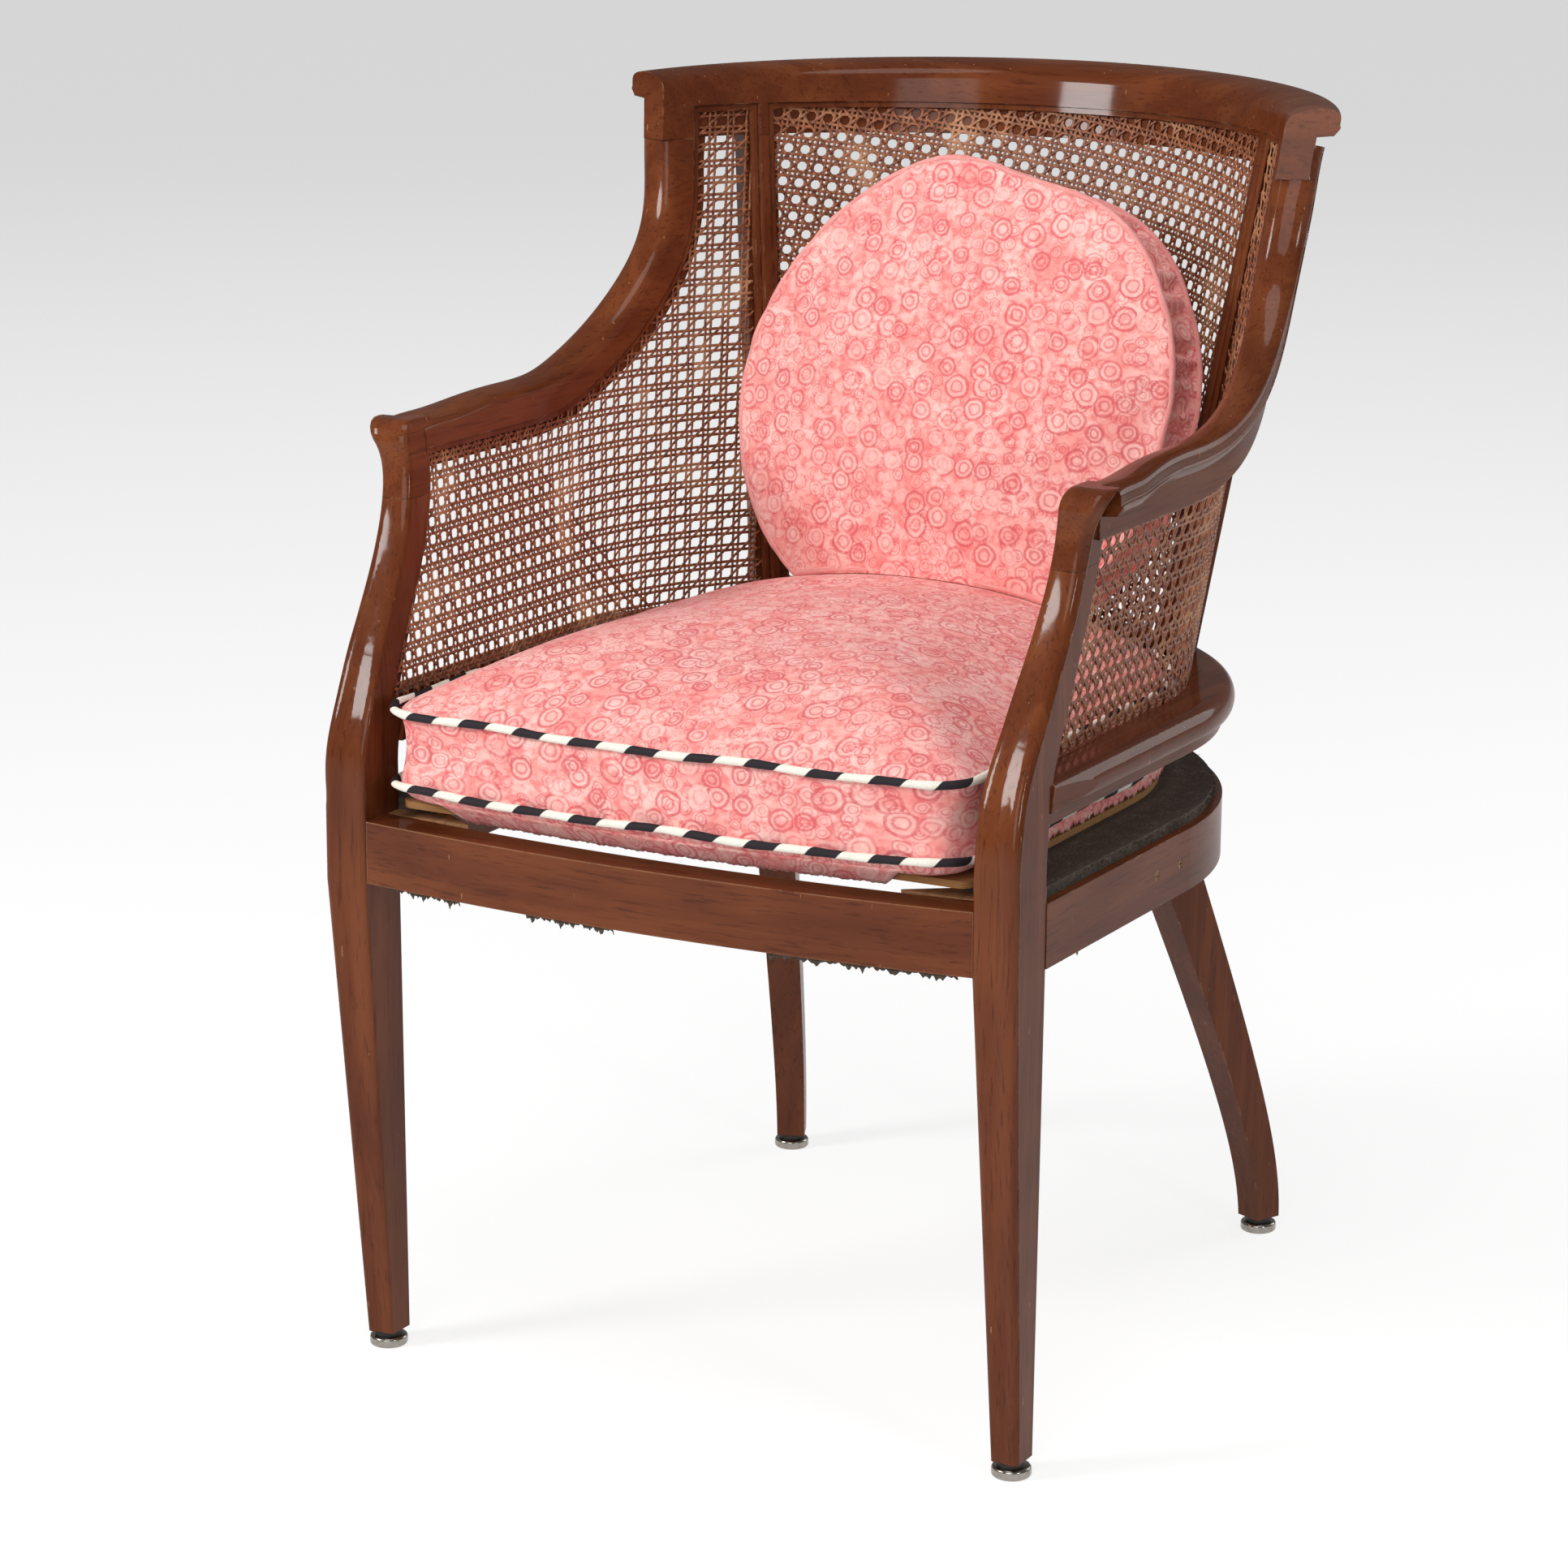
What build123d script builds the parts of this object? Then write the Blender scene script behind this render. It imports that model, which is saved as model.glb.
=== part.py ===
from build123d import *
import math
import os

# A barrel armchair: a caned mahogany back that wraps round a D-shaped seat, with two loose cushions.
# Millimetres, +Z up, the sitter faces -Y, and +X is the chair's own left.
# The pieces are drawn about a working origin and moved at the end, so that the origin of the
# finished chair lies on the floor under the middle of its box.

# Fits between pieces
JOINT_GAP = 0.1
LOOSE_GAP = 0.4
DOWEL_PLAY = 0.1

# Seat frame: a straight-sided hoop with a bowed front rail
SEAT_RAIL_Z = 363.0
SEAT_RAIL_HEIGHT = 45.0
HOOP_RADIUS = 275.0
HOOP_THICKNESS = 35.0
HOOP_CENTRE_Y = 12.0
HOOP_JOINT_ANGLE = 30.0
FRONT_RAIL_THICKNESS = 28.0
FRONT_RAIL_BOW = 17.0
FRONT_RAIL_SETBACK = 1.5

# Front posts: a tapered leg, then a swept upright that rolls out into an ear
POST_INNER_X = 238.5
POST_WIDTH = 33.5
POST_DEPTH = 44.0
POST_FRONT_Y = -263.5
POST_SWEEP = 83.0
SWEEP_START_Z = 440.0
SWEEP_END_Z = 650.0
POST_TOP_WIDTH = 25.0
POST_TOP_DEPTH = 38.0
POST_TOP_Z = 679.0
POST_JOINT_DROP = 54.0
POST_ROLL = 6.5
BLOCK_ROLL = 2.0
ROLL_SHOULDER_SHARE = 0.35
ROLL_SHOULDER_DEPTH_SHARE = 0.3
ROLL_SWELL_SHARE = 0.12
ROLL_HEEL_SHARE = 1.6
HEEL_STEP = 1.0
EDGE_STEP = 0.6
LIP_STEP = 5.0
EAR_OUT = 14.0
EAR_HEIGHT = 34.0
EAR_ROUND = 14.0
EAR_FLARE = 1.6
EAR_STEP = 0.6
FOOT_WIDTH = 21.5
FOOT_DEPTH = 23.0
FRONT_FOOT_X = 254.0
FRONT_FOOT_Y = -220.0

# Sabre rear legs, swept backwards and a little outwards
REAR_FOOT_X = 210.0
REAR_FOOT_Y = 323.5
REAR_TOP_X = 162.0
REAR_TOP_Y = 197.0
REAR_SWEEP_ANGLE = 66.0
REAR_CURVE = 0.3
REAR_TOP_DEPTH = 41.0
REAR_TOP_WIDTH = 31.5
REAR_FOOT_DEPTH = 22.5
REAR_FOOT_WIDTH = 22.5

# Glides under the four feet
GLIDE_RADIUS = 14.0
GLIDE_CAP_HEIGHT = 8.0
GLIDE_NECK_RADIUS = 10.0
GLIDE_NECK_HEIGHT = 4.0
NAIL_RADIUS = 1.6
NAIL_LENGTH = 22.0

# The barrel wall: circles in plan that lean back and open out, with straight sides to the posts
WALL_FOOT_Z = 490.0
WALL_HEAD_Z = 870.0
WALL_FOOT_RADIUS = 241.0
WALL_HEAD_RADIUS = 280.0
WALL_FOOT_CENTRE_Y = 30.0
WALL_HEAD_CENTRE_Y = 85.0
WALL_FOOT_FRONT_X = 243.0
WALL_HEAD_FRONT_X = 276.0
WALL_FRONT_Y = -242.0
FRAME_PROUD = 5.0

# Arms, crest and lower rail: one moulded section with a rolled lip
ARM_THICKNESS = 17.0
ARM_LIP = 26.0
ARM_EAR_LIP = 33.0
ARM_RIDGE = 28.0
ARM_FRONT_RIDGE = 21.0
ARM_LEDGE = 15.0
CREST_THICKNESS = 19.0
CREST_LIP = 35.0
CREST_RIDGE = 33.5
CREST_END_RIDGE = 26.0
CREST_LEDGE = 24.0
CREST_END_ANGLE = 22.0
CREST_TRIM = 4.0
CREST_ARCH_POWER = 0.8
LIP_HEIGHT = 19.0
LOWER_RAIL_Z = 458.0
LOWER_RAIL_LIP = 34.0
LOWER_RAIL_FASCIA = 25.0

# Points of the roll: in from the inner face or the lip, and down from the ridge
ROLL_FOOT = 14.0
ROLL_INNER = ((3.0, 5.5), (11.0, 1.5))
ROLL_OUTER = ((10.0, 0.0), (1.5, 5.0), (1.0, 12.0))
ROLL_UNDERCUT = 4.0

# Points of the lower rail's nose: in from its lip, and up from its foot or down from its top
FASCIA_HEIGHT = 9.0
NOSE_UNDER = ((2.0, 11.0), (0.0, 18.0))
NOSE_OVER = ((3.0, 5.0), (12.0, 1.0))
NOSE_EASE = 70.0

# Side view of a cane panel's border: Y at its turns, and how far up from arm to crest they lie
ARM_DROP = 22.0
POST_FACE = 26.0
ARM_BEND_START_Y = 0.0
ARM_BEND_Y = 169.0
ARM_BEND_RISE = 0.3615
SWEEP_BEND_Y = 203.0
SWEEP_BEND_RISE = 0.69
BORDER_HEAD_Y = 215.0
BORDER_FOOT_Z = 476.0

# Back stiles and the stub posts below them
STILE_FOOT_ANGLE = 46.6
STILE_HEAD_ANGLE = 40.3
STILE_FACE = 11.5
STILE_WIDTH = 27.0
STILE_THICKNESS = 22.0
STUB_WIDTH = 26.0
STUB_DEPTH = 24.0
STUB_OUT = 9.0

# Cane panels and the splines that hold them: in the side panels a plain grid stands for the weave
CANE_THICKNESS = 2.0
CANE_OPENING = 30.0
CANE_COLUMN = 46.0
CANE_ROW = 46.0
CANE_RIM = 10.0
SPLINE_WIDTH = 4.0
SPLINE_HEIGHT = 2.5

# Seat: a cloth-covered ring on the rails, a plywood board and corner blocks
DECK_INSET = 7.0
DECK_WIDTH = 56.0
DECK_THICKNESS = 8.0
BOARD_HALF_WIDTH = 224.0
BOARD_THICKNESS = 5.0
BOARD_FRONT_Y = -240.0
BOARD_BOW = 0.5
BOARD_CORNER = 10.0
BOARD_SETBACK = 6.0
CORNER_BLOCK = 66.0
CORNER_BLOCK_DEPTH = 38.0
SIDE_BLOCK_LENGTH = 90.0
SIDE_BLOCK_THICKNESS = 24.0
SIDE_BLOCK_HEIGHT = 34.0
SIDE_BLOCK_Y = -24.0
DUST_STRIP_WIDTH = 16.0
DUST_STRIP_THICKNESS = 1.2
DUST_SETBACK = 6.0
DUST_SIDE_END_ANGLE = 14.0
DUST_BACK_ANGLE = 66.0
DUST_FRONT_SPANS = ((-0.92, -0.66), (-0.42, -0.12), (0.38, 0.95))

# Screws and dowels
SCREW_HEAD_RADIUS = 3.6
SCREW_SHANK_RADIUS = 2.0
SCREW_LENGTH = 48.0
SCREW_SPACING = 39.0
SCREW_SLOT_WIDTH = 0.9
SCREW_SLOT_LENGTH = 4.2
SCREW_SLOT_DEPTH = 1.2
SINK_SPARE = 1.0
DOWEL_RADIUS = 4.5
DOWEL_LENGTH = 26.0
RAIL_DOWEL_SHARES = (0.28, 0.72)
LEG_DOWEL_OFFSET = 9.0
CREST_DOWEL_SETBACK = 14.0
CREST_DOWEL_SHIFT = 4.0
CREST_DOWEL_WAY = (0.09, 0.18, 1.0)

# Seat cushion
CUSHION_SPARE = 11.0
CUSHION_FRONT_Y = -258.0
CUSHION_BOW = 13.0
CUSHION_BOXING = 54.0
CUSHION_UNDERSIDE = 15.0
CUSHION_UNDER_INSET = 24.0
CUSHION_CROWN = 55.0
CUSHION_CROWN_REACH = 0.88
CUSHION_FULLNESS = 2.2
CUSHION_DRAW = 4.0
CUSHION_CORNER = 34.0
CUSHION_CORNER_EASE = 0.5
CUSHION_CORNER_LEAST = 8.0
WELT_RADIUS = 3.0

# Round back cushion, leaning in the barrel
PILLOW_RADIUS = 177.5
PILLOW_BOXING = 52.0
PILLOW_FRONT_CROWN = 22.0
PILLOW_REAR_CROWN = 14.0
PILLOW_SHOULDER_SHARE = 0.8
PILLOW_SHOULDER_RISE_SHARE = 0.6
PILLOW_DRAW = 5.0
PILLOW_LEAN = 14.0
PILLOW_X = 8.5
PILLOW_FOOT_Z = 485.0
PILLOW_SPARE = 8.5
PILLOW_WELT_RADIUS = 2.6

# Levels and lines that follow from the sizes above
RAIL_TOP_Z = SEAT_RAIL_Z + SEAT_RAIL_HEIGHT
FOOT_Z = GLIDE_CAP_HEIGHT + GLIDE_NECK_HEIGHT
POST_BACK_Y = POST_FRONT_Y + POST_DEPTH
POST_JOINT_Z = POST_TOP_Z - POST_JOINT_DROP
ARM_BORDER_Z = POST_TOP_Z - ARM_DROP
ARM_BEND_Z = ARM_BORDER_Z + ARM_BEND_RISE * (WALL_HEAD_Z - ARM_BORDER_Z)
SWEEP_BEND_Z = ARM_BORDER_Z + SWEEP_BEND_RISE * (WALL_HEAD_Z - ARM_BORDER_Z)
STUB_RADIUS = WALL_FOOT_RADIUS + STUB_OUT
CUSHION_HALF_WIDTH = WALL_FOOT_RADIUS - FRAME_PROUD - CUSHION_SPARE
PILLOW_Z = PILLOW_FOOT_Z + PILLOW_RADIUS
DECK_TOP_Z = RAIL_TOP_Z + DECK_THICKNESS
BOARD_TOP_Z = DECK_TOP_Z + BOARD_THICKNESS
CREST_FOOT_Z = WALL_HEAD_Z - CREST_LEDGE
CUSHION_FOOT_Z = BOARD_TOP_Z + LOOSE_GAP
LOWER_WELT_Z = CUSHION_FOOT_Z + CUSHION_UNDERSIDE
UPPER_WELT_Z = LOWER_WELT_Z + CUSHION_BOXING
RABBET_DEPTH = CANE_THICKNESS / 2 + LOOSE_GAP
SIDE_WALL_END_ANGLE = STILE_FOOT_ANGLE + 24.0
BEYOND = 40.0


def blend(start, end, share):
    """Value between start and end."""
    return start + (end - start) * share


def ease(share):
    """Smooth step from 0 to 1, flat at both ends."""
    bounded = min(max(share, 0.0), 1.0)
    return bounded * bounded * (3.0 - 2.0 * bounded)


def wall_share(z):
    """Height of a level between the wall's foot and head."""
    return (z - WALL_FOOT_Z) / (WALL_HEAD_Z - WALL_FOOT_Z)


def wall_radius(z):
    return blend(WALL_FOOT_RADIUS, WALL_HEAD_RADIUS, wall_share(z))


def wall_centre(z):
    return blend(WALL_FOOT_CENTRE_Y, WALL_HEAD_CENTRE_Y, wall_share(z))


def wall_front_x(z):
    return blend(WALL_FOOT_FRONT_X, WALL_HEAD_FRONT_X, wall_share(z))


def wall_x(y, z):
    """Half width of the barrel wall at a side-view point."""
    radius = wall_radius(z)
    centre = wall_centre(z)
    if y > centre:
        return math.sqrt(radius**2 - (y - centre) ** 2)
    share = (y - WALL_FRONT_Y) / (centre - WALL_FRONT_Y)
    return blend(wall_front_x(z), radius, share)


def wall_normal(y, z):
    """Level outward direction of the wall at a side-view point."""
    step = 0.5
    rise = (wall_x(y + step, z) - wall_x(y - step, z)) / (2 * step)
    return Vector(1, -rise, 0).normalized()


def on_circle(angle, radius, centre_y, z):
    turn = math.radians(angle)
    return Vector(radius * math.cos(turn), centre_y + radius * math.sin(turn), z)


def wall_point(angle, z, out=0.0):
    """Point of the round back at a plan angle, pushed out from the wall."""
    return on_circle(angle, wall_radius(z) + out, wall_centre(z), z)


def arc(angle_a, angle_b, radius, centre_y, z):
    """Level arc about the chair's middle line."""
    start = on_circle(angle_a, radius, centre_y, z)
    middle = on_circle((angle_a + angle_b) / 2, radius, centre_y, z)
    end = on_circle(angle_b, radius, centre_y, z)
    return Edge.make_three_point_arc(start, middle, end)


def closed_face(edges):
    return Face(Wire(edges))


def polygon(points):
    return Face(Wire.make_polygon(points, close=True))


def upright(face, height):
    """Solid raised from a level face."""
    return Solid.extrude(face, Vector(0, 0, height))


def arc_band(angle, inner, outer, centre_y, z):
    """Level face between two circles round the back, ending the same angle from both sides."""
    far = 180.0 - angle
    far_outer = on_circle(far, outer, centre_y, z)
    far_inner = on_circle(far, inner, centre_y, z)
    near_inner = on_circle(angle, inner, centre_y, z)
    near_outer = on_circle(angle, outer, centre_y, z)
    return closed_face([
        arc(angle, far, outer, centre_y, z),
        Edge.make_line(far_outer, far_inner),
        arc(far, angle, inner, centre_y, z),
        Edge.make_line(near_inner, near_outer),
    ])


def side_band(z, inner, outer, front_y, end_angle):
    """Level face between two offsets of the wall, from front_y round to end_angle."""
    radius = wall_radius(z)
    centre = wall_centre(z)
    front_x = wall_x(front_y, z)
    outer_front = Vector(front_x + outer, front_y, z)
    inner_front = Vector(front_x + inner, front_y, z)
    outer_bend = on_circle(0, radius + outer, centre, z)
    inner_bend = on_circle(0, radius + inner, centre, z)
    outer_end = on_circle(end_angle, radius + outer, centre, z)
    inner_end = on_circle(end_angle, radius + inner, centre, z)
    return closed_face([
        Edge.make_line(inner_front, outer_front),
        Edge.make_line(outer_front, outer_bend),
        arc(0, end_angle, radius + outer, centre, z),
        Edge.make_line(outer_end, inner_end),
        arc(end_angle, 0, radius + inner, centre, z),
        Edge.make_line(inner_bend, inner_front),
    ])


def side_wall(inner, outer, foot_z, head_z):
    """Solid of the side wall between two offsets, from the front round past the stile."""
    ends = [side_band(z, inner, outer, WALL_FRONT_Y, SIDE_WALL_END_ANGLE) for z in (foot_z, head_z)]
    return loft(ends, ruled=True)


def back_band(z, inner, outer, angle):
    """Level face between two offsets of the round back, the same angle from both sides."""
    radius = wall_radius(z)
    return arc_band(angle, radius + inner, radius + outer, wall_centre(z), z)


def stile_angle(z):
    return blend(STILE_FOOT_ANGLE, STILE_HEAD_ANGLE, wall_share(z))


def stile_edge_angle(z, margin):
    """Plan angle of a line beside the stile's middle, margin behind it."""
    return stile_angle(z) + math.degrees(margin / wall_radius(z))


def back_wall(inner, outer, grow):
    """Solid of the back panel's area between two offsets; grow widens it on all sides."""
    margin = STILE_FACE / 2 - grow
    ends = []
    for z in (BORDER_FOOT_Z - grow, WALL_HEAD_Z + grow):
        ends.append(back_band(z, inner, outer, stile_edge_angle(z, margin)))
    return loft(ends, ruled=True)


def post_share(z):
    return ease((z - SWEEP_START_Z) / (SWEEP_END_Z - SWEEP_START_Z))


def post_front(z):
    return POST_FRONT_Y + POST_SWEEP * post_share(z)


def post_back(z):
    return post_front(z) + blend(POST_DEPTH, POST_TOP_DEPTH, post_share(z))


def post_inner(z):
    """Inner face of the post: upright to the wall's foot, then flush with the arm's inner face."""
    if z < WALL_FOOT_Z:
        return POST_INNER_X
    head = wall_x(post_front(z), z) - FRAME_PROUD
    foot = wall_x(post_front(WALL_FOOT_Z), WALL_FOOT_Z) - FRAME_PROUD
    return POST_INNER_X + head - foot


def post_ear(z):
    """How far the ear stands out at a level near the post's top."""
    return EAR_OUT * max(0.0, (z - POST_TOP_Z + EAR_HEIGHT) / EAR_HEIGHT) ** EAR_FLARE


def post_lip(z):
    """Outer edge of the post's front roll, with the ear at its top."""
    return post_inner(z) + blend(POST_WIDTH, POST_TOP_WIDTH, post_share(z)) + post_ear(z)


def border_points(grow):
    """Side-view corners of a side panel's border; grow moves every side outwards."""
    bend_turn = 2 * math.atan2(ARM_BEND_Z - ARM_BORDER_Z, ARM_BEND_Y - ARM_BEND_START_Y)
    chord = math.atan2(SWEEP_BEND_Z - ARM_BEND_Z, SWEEP_BEND_Y - ARM_BEND_Y)
    sweep_turn = 2 * chord - bend_turn
    bend_out = Vector(0, -math.sin(bend_turn), math.cos(bend_turn))
    sweep_out = Vector(0, -math.sin(sweep_turn), math.cos(sweep_turn))
    return {
        "corner": Vector(0, post_front(ARM_BORDER_Z) + POST_FACE - grow, ARM_BORDER_Z + grow),
        "start": Vector(0, ARM_BEND_START_Y, ARM_BORDER_Z + grow),
        "bend": Vector(0, ARM_BEND_Y, ARM_BEND_Z) + bend_out * grow,
        "sweep": Vector(0, SWEEP_BEND_Y, SWEEP_BEND_Z) + sweep_out * grow,
        "head": Vector(0, BORDER_HEAD_Y - grow, WALL_HEAD_Z + grow),
        "bend_way": Vector(0, math.cos(bend_turn), math.sin(bend_turn)),
    }


def arm_border(grow):
    """Edges of the panel's border under the arm, from the post to the crest, in side view."""
    at = border_points(grow)
    return [
        Edge.make_line(at["corner"], at["start"]),
        Edge.make_tangent_arc(at["start"], Vector(0, 1, 0), at["bend"]),
        Edge.make_tangent_arc(at["bend"], at["bend_way"], at["sweep"]),
        Edge.make_line(at["sweep"], at["head"]),
    ]


def side_panel_prism(grow):
    """Side-view area of a side panel, carried across half the chair."""
    head_z = WALL_HEAD_Z + grow
    foot_z = BORDER_FOOT_Z - grow
    front = []
    for step in range(8):
        level = blend(BORDER_FOOT_Z, ARM_BORDER_Z, step / 7)
        z = blend(foot_z, ARM_BORDER_Z + grow, step / 7)
        front.append(Vector(0, post_front(level) + POST_FACE - grow, z))
    rear_head = wall_point(stile_edge_angle(WALL_HEAD_Z, grow - STILE_FACE / 2), head_z)
    rear_foot = wall_point(stile_edge_angle(BORDER_FOOT_Z, grow - STILE_FACE / 2), foot_z)
    rear_head = Vector(0, rear_head.Y, head_z)
    rear_foot = Vector(0, rear_foot.Y, foot_z)
    edges = [Edge.make_spline(front)] + arm_border(grow)
    edges.append(Edge.make_line(border_points(grow)["head"], rear_head))
    edges.append(Edge.make_line(rear_head, rear_foot))
    edges.append(Edge.make_line(rear_foot, front[0]))
    return Solid.extrude(closed_face(edges), Vector(HOOP_RADIUS + BEYOND, 0, 0))


def side_panel(inner, outer, grow):
    """Part of the side wall inside the panel's border."""
    whole = side_wall(inner, outer, BORDER_FOOT_Z - BEYOND / 2, WALL_HEAD_Z + BEYOND / 2)
    return whole & side_panel_prism(grow)


def opening_levels():
    """Levels at which the rows of openings in the cane start, spread evenly over its height."""
    height = WALL_HEAD_Z - BORDER_FOOT_Z - 2 * CANE_RIM
    rows = int((height - CANE_OPENING) / CANE_ROW) + 1
    first = BORDER_FOOT_Z + CANE_RIM + (height - CANE_OPENING - (rows - 1) * CANE_ROW) / 2
    return [first + row * CANE_ROW for row in range(rows)]


def cane_cut(middle, outward):
    """Block that cuts one opening square through the wall; middle is at its foot."""
    return upright(rectangle(middle, outward, CANE_OPENING, BEYOND), CANE_OPENING)


def corners_within(cut, field):
    """True where all corners of a block's side view lie inside a side-view solid."""
    box = cut.bounding_box()
    spots = [Vector(BEYOND, y, z) for y in (box.min.Y, box.max.Y) for z in (box.min.Z, box.max.Z)]
    return all(field.is_inside(spot) for spot in spots)


def side_openings():
    """Openings of a side panel: columns along the straight side, then round the back to the stile."""
    field = side_panel_prism(-CANE_RIM)
    cuts = []
    for foot_z in opening_levels():
        middle_z = foot_z + CANE_OPENING / 2
        bend = wall_centre(middle_z)
        step = math.degrees(CANE_COLUMN / wall_radius(middle_z))
        y = bend - CANE_COLUMN / 2
        while y > WALL_FRONT_Y:
            cuts.append(cane_cut(Vector(wall_x(y, middle_z), y, foot_z), wall_normal(y, middle_z)))
            y -= CANE_COLUMN
        angle = step / 2
        while angle < STILE_FOOT_ANGLE:
            place = wall_point(angle, middle_z)
            cuts.append(cane_cut(Vector(place.X, place.Y, foot_z), on_circle(angle, 1.0, 0.0, 0.0)))
            angle += step
    return [cut for cut in cuts if corners_within(cut, field)]


def moulding(place, thickness, lip, ridge, ledge):
    """Wire of the rolled section; place turns (outwards, up) into a point."""
    inner = -FRAME_PROUD
    roll = [(inner, ridge - ROLL_FOOT)]
    roll += [(inner + across, ridge - down) for across, down in ROLL_INNER]
    roll += [(lip - across, ridge - down) for across, down in ROLL_OUTER]
    roll.append((lip - ROLL_UNDERCUT, ridge - LIP_HEIGHT))
    heel = ridge - LIP_HEIGHT - HEEL_STEP
    rise = (place(inner, 1) - place(inner, 0)).normalized()
    drop = (place(-0.6, -0.8) - place(0, 0)).normalized()
    return Wire([
        Edge.make_line(place(inner, -ledge), place(*roll[0])),
        Edge.make_spline([place(*point) for point in roll], tangents=[rise, drop]),
        Edge.make_line(place(*roll[-1]), place(thickness, heel)),
        Edge.make_line(place(thickness, heel), place(thickness, -ledge)),
        Edge.make_line(place(thickness, -ledge), place(inner, -ledge)),
    ])


def arm_run():
    """The arm's moulding from inside the post's ear, back and up into the crest."""
    path = Wire(arm_border(0.0))
    sections = []
    stations = 14
    for station in range(stations):
        share = station / (stations - 1)
        flat = path @ share
        here = Vector(wall_x(flat.Y, flat.Z), flat.Y, flat.Z)
        way = path % share
        ahead = flat + way * 1.0
        along = (Vector(wall_x(ahead.Y, ahead.Z), ahead.Y, ahead.Z) - here).normalized()
        out = wall_normal(flat.Y, flat.Z)
        out = (out - along * out.dot(along)).normalized()
        up = out.cross(along)
        front = ease(1 - share * 4)
        lip = blend(ARM_LIP, ARM_EAR_LIP, front)
        ridge = blend(ARM_RIDGE, ARM_FRONT_RIDGE, front)

        def place(outwards, upwards, here=here, out=out, up=up):
            return here + out * outwards + up * upwards

        sections.append(moulding(place, ARM_THICKNESS, lip, ridge, ARM_LEDGE))
    return Solid.make_loft(sections)


def post_wire(z, y_range, x_range, flat, roll):
    """Level wire of the post: a rolled front with a lip, flat sides and a flat back."""
    front, back = y_range
    inner, lip = x_range
    middle = (inner + lip) / 2
    shoulder = roll * ROLL_SHOULDER_SHARE
    shoulder_y = front + roll * ROLL_SHOULDER_DEPTH_SHARE
    heel_y = front + roll * ROLL_HEEL_SHARE
    points = [
        Vector(inner, front + roll, z),
        Vector(inner + shoulder, shoulder_y, z),
        Vector(middle, front - roll * ROLL_SWELL_SHARE, z),
        Vector(lip - shoulder, shoulder_y, z),
        Vector(lip, front + roll, z),
        Vector(lip - HEEL_STEP / 2, heel_y, z),
    ]
    heel = Vector(flat, heel_y + HEEL_STEP, z)
    return Wire([
        Edge.make_line(Vector(inner, back, z), points[0]),
        Edge.make_spline(points, tangents=[Vector(0, -1, 0), Vector(-0.3, 1, 0).normalized()]),
        Edge.make_line(points[-1], heel),
        Edge.make_line(heel, Vector(flat, back, z)),
        Edge.make_line(Vector(flat, back, z), Vector(inner, back, z)),
    ])


def post_section(z, shrink):
    """The post's wire at a level, with its front and sides drawn in by shrink."""
    inner = post_inner(z) + shrink / 3
    lip = post_lip(z) - shrink / 3
    flat = lip - EDGE_STEP - (LIP_STEP + EAR_STEP * post_ear(z)) * post_share(z)
    roll = blend(BLOCK_ROLL, POST_ROLL, ease((z - DECK_TOP_Z) / (SWEEP_END_Z - DECK_TOP_Z)))
    return post_wire(z, (post_front(z) + shrink, post_back(z)), (inner, lip), flat, roll)


def post_upper():
    """The post above the deck, up to the rounded top of its ear."""
    shoulder_z = POST_TOP_Z - EAR_ROUND
    shaft = [post_section(blend(DECK_TOP_Z, shoulder_z, step / 10), 0.0) for step in range(11)]
    cap = []
    for turn in (0, 18, 36, 54, 72, 90):
        drop = EAR_ROUND * (1 - math.sin(math.radians(turn)))
        shrink = EAR_ROUND * (1 - math.cos(math.radians(turn)))
        cap.append(post_section(POST_TOP_Z - drop, shrink))
    return Solid.make_loft(shaft) + Solid.make_loft(cap, ruled=True)


def box_between(*ranges):
    """Box from its lowest to its highest X, Y and Z."""
    size = [high - low for low, high in ranges]
    middle = [(low + high) / 2 for low, high in ranges]
    return Pos(*middle) * Box(*size)


def rectangle(centre, along, width, depth):
    """Level rectangle; depth runs along a direction."""
    across = Vector(-along.Y, along.X, 0)
    return polygon([
        centre + along * (depth / 2) + across * (width / 2),
        centre - along * (depth / 2) + across * (width / 2),
        centre - along * (depth / 2) - across * (width / 2),
        centre + along * (depth / 2) - across * (width / 2),
    ])


def front_leg():
    """The tapered leg and the square block above it that the rails meet."""
    outer_x = FRONT_FOOT_X + FOOT_WIDTH / 2
    x_range = (FRONT_FOOT_X - FOOT_WIDTH / 2, outer_x)
    y_range = (FRONT_FOOT_Y - FOOT_DEPTH / 2, FRONT_FOOT_Y + FOOT_DEPTH / 2)
    foot = post_wire(FOOT_Z, y_range, x_range, outer_x - EDGE_STEP, BLOCK_ROLL)
    head = post_section(SEAT_RAIL_Z, 0.0)
    taper = Solid.make_loft([foot, head], ruled=True)
    return taper + upright(Face(head), DECK_TOP_Z - SEAT_RAIL_Z)


def rear_leg():
    """Sabre leg: level rectangles along a line that is upright at the floor and leans in above."""
    along = on_circle(REAR_SWEEP_ANGLE, 1.0, 0.0, 0.0)
    sections = []
    steps = 7
    for step in range(steps):
        share = step / (steps - 1)
        z = blend(FOOT_Z, SEAT_RAIL_Z - JOINT_GAP, share)
        lean = share**2 * (1 + REAR_CURVE) / (share + REAR_CURVE)
        centre = Vector(blend(REAR_FOOT_X, REAR_TOP_X, lean), blend(REAR_FOOT_Y, REAR_TOP_Y, lean), z)
        width = blend(REAR_FOOT_WIDTH, REAR_TOP_WIDTH, share)
        depth = blend(REAR_FOOT_DEPTH, REAR_TOP_DEPTH, share)
        sections.append(rectangle(centre, along, width, depth).outer_wire())
    return Solid.make_loft(sections)


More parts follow.
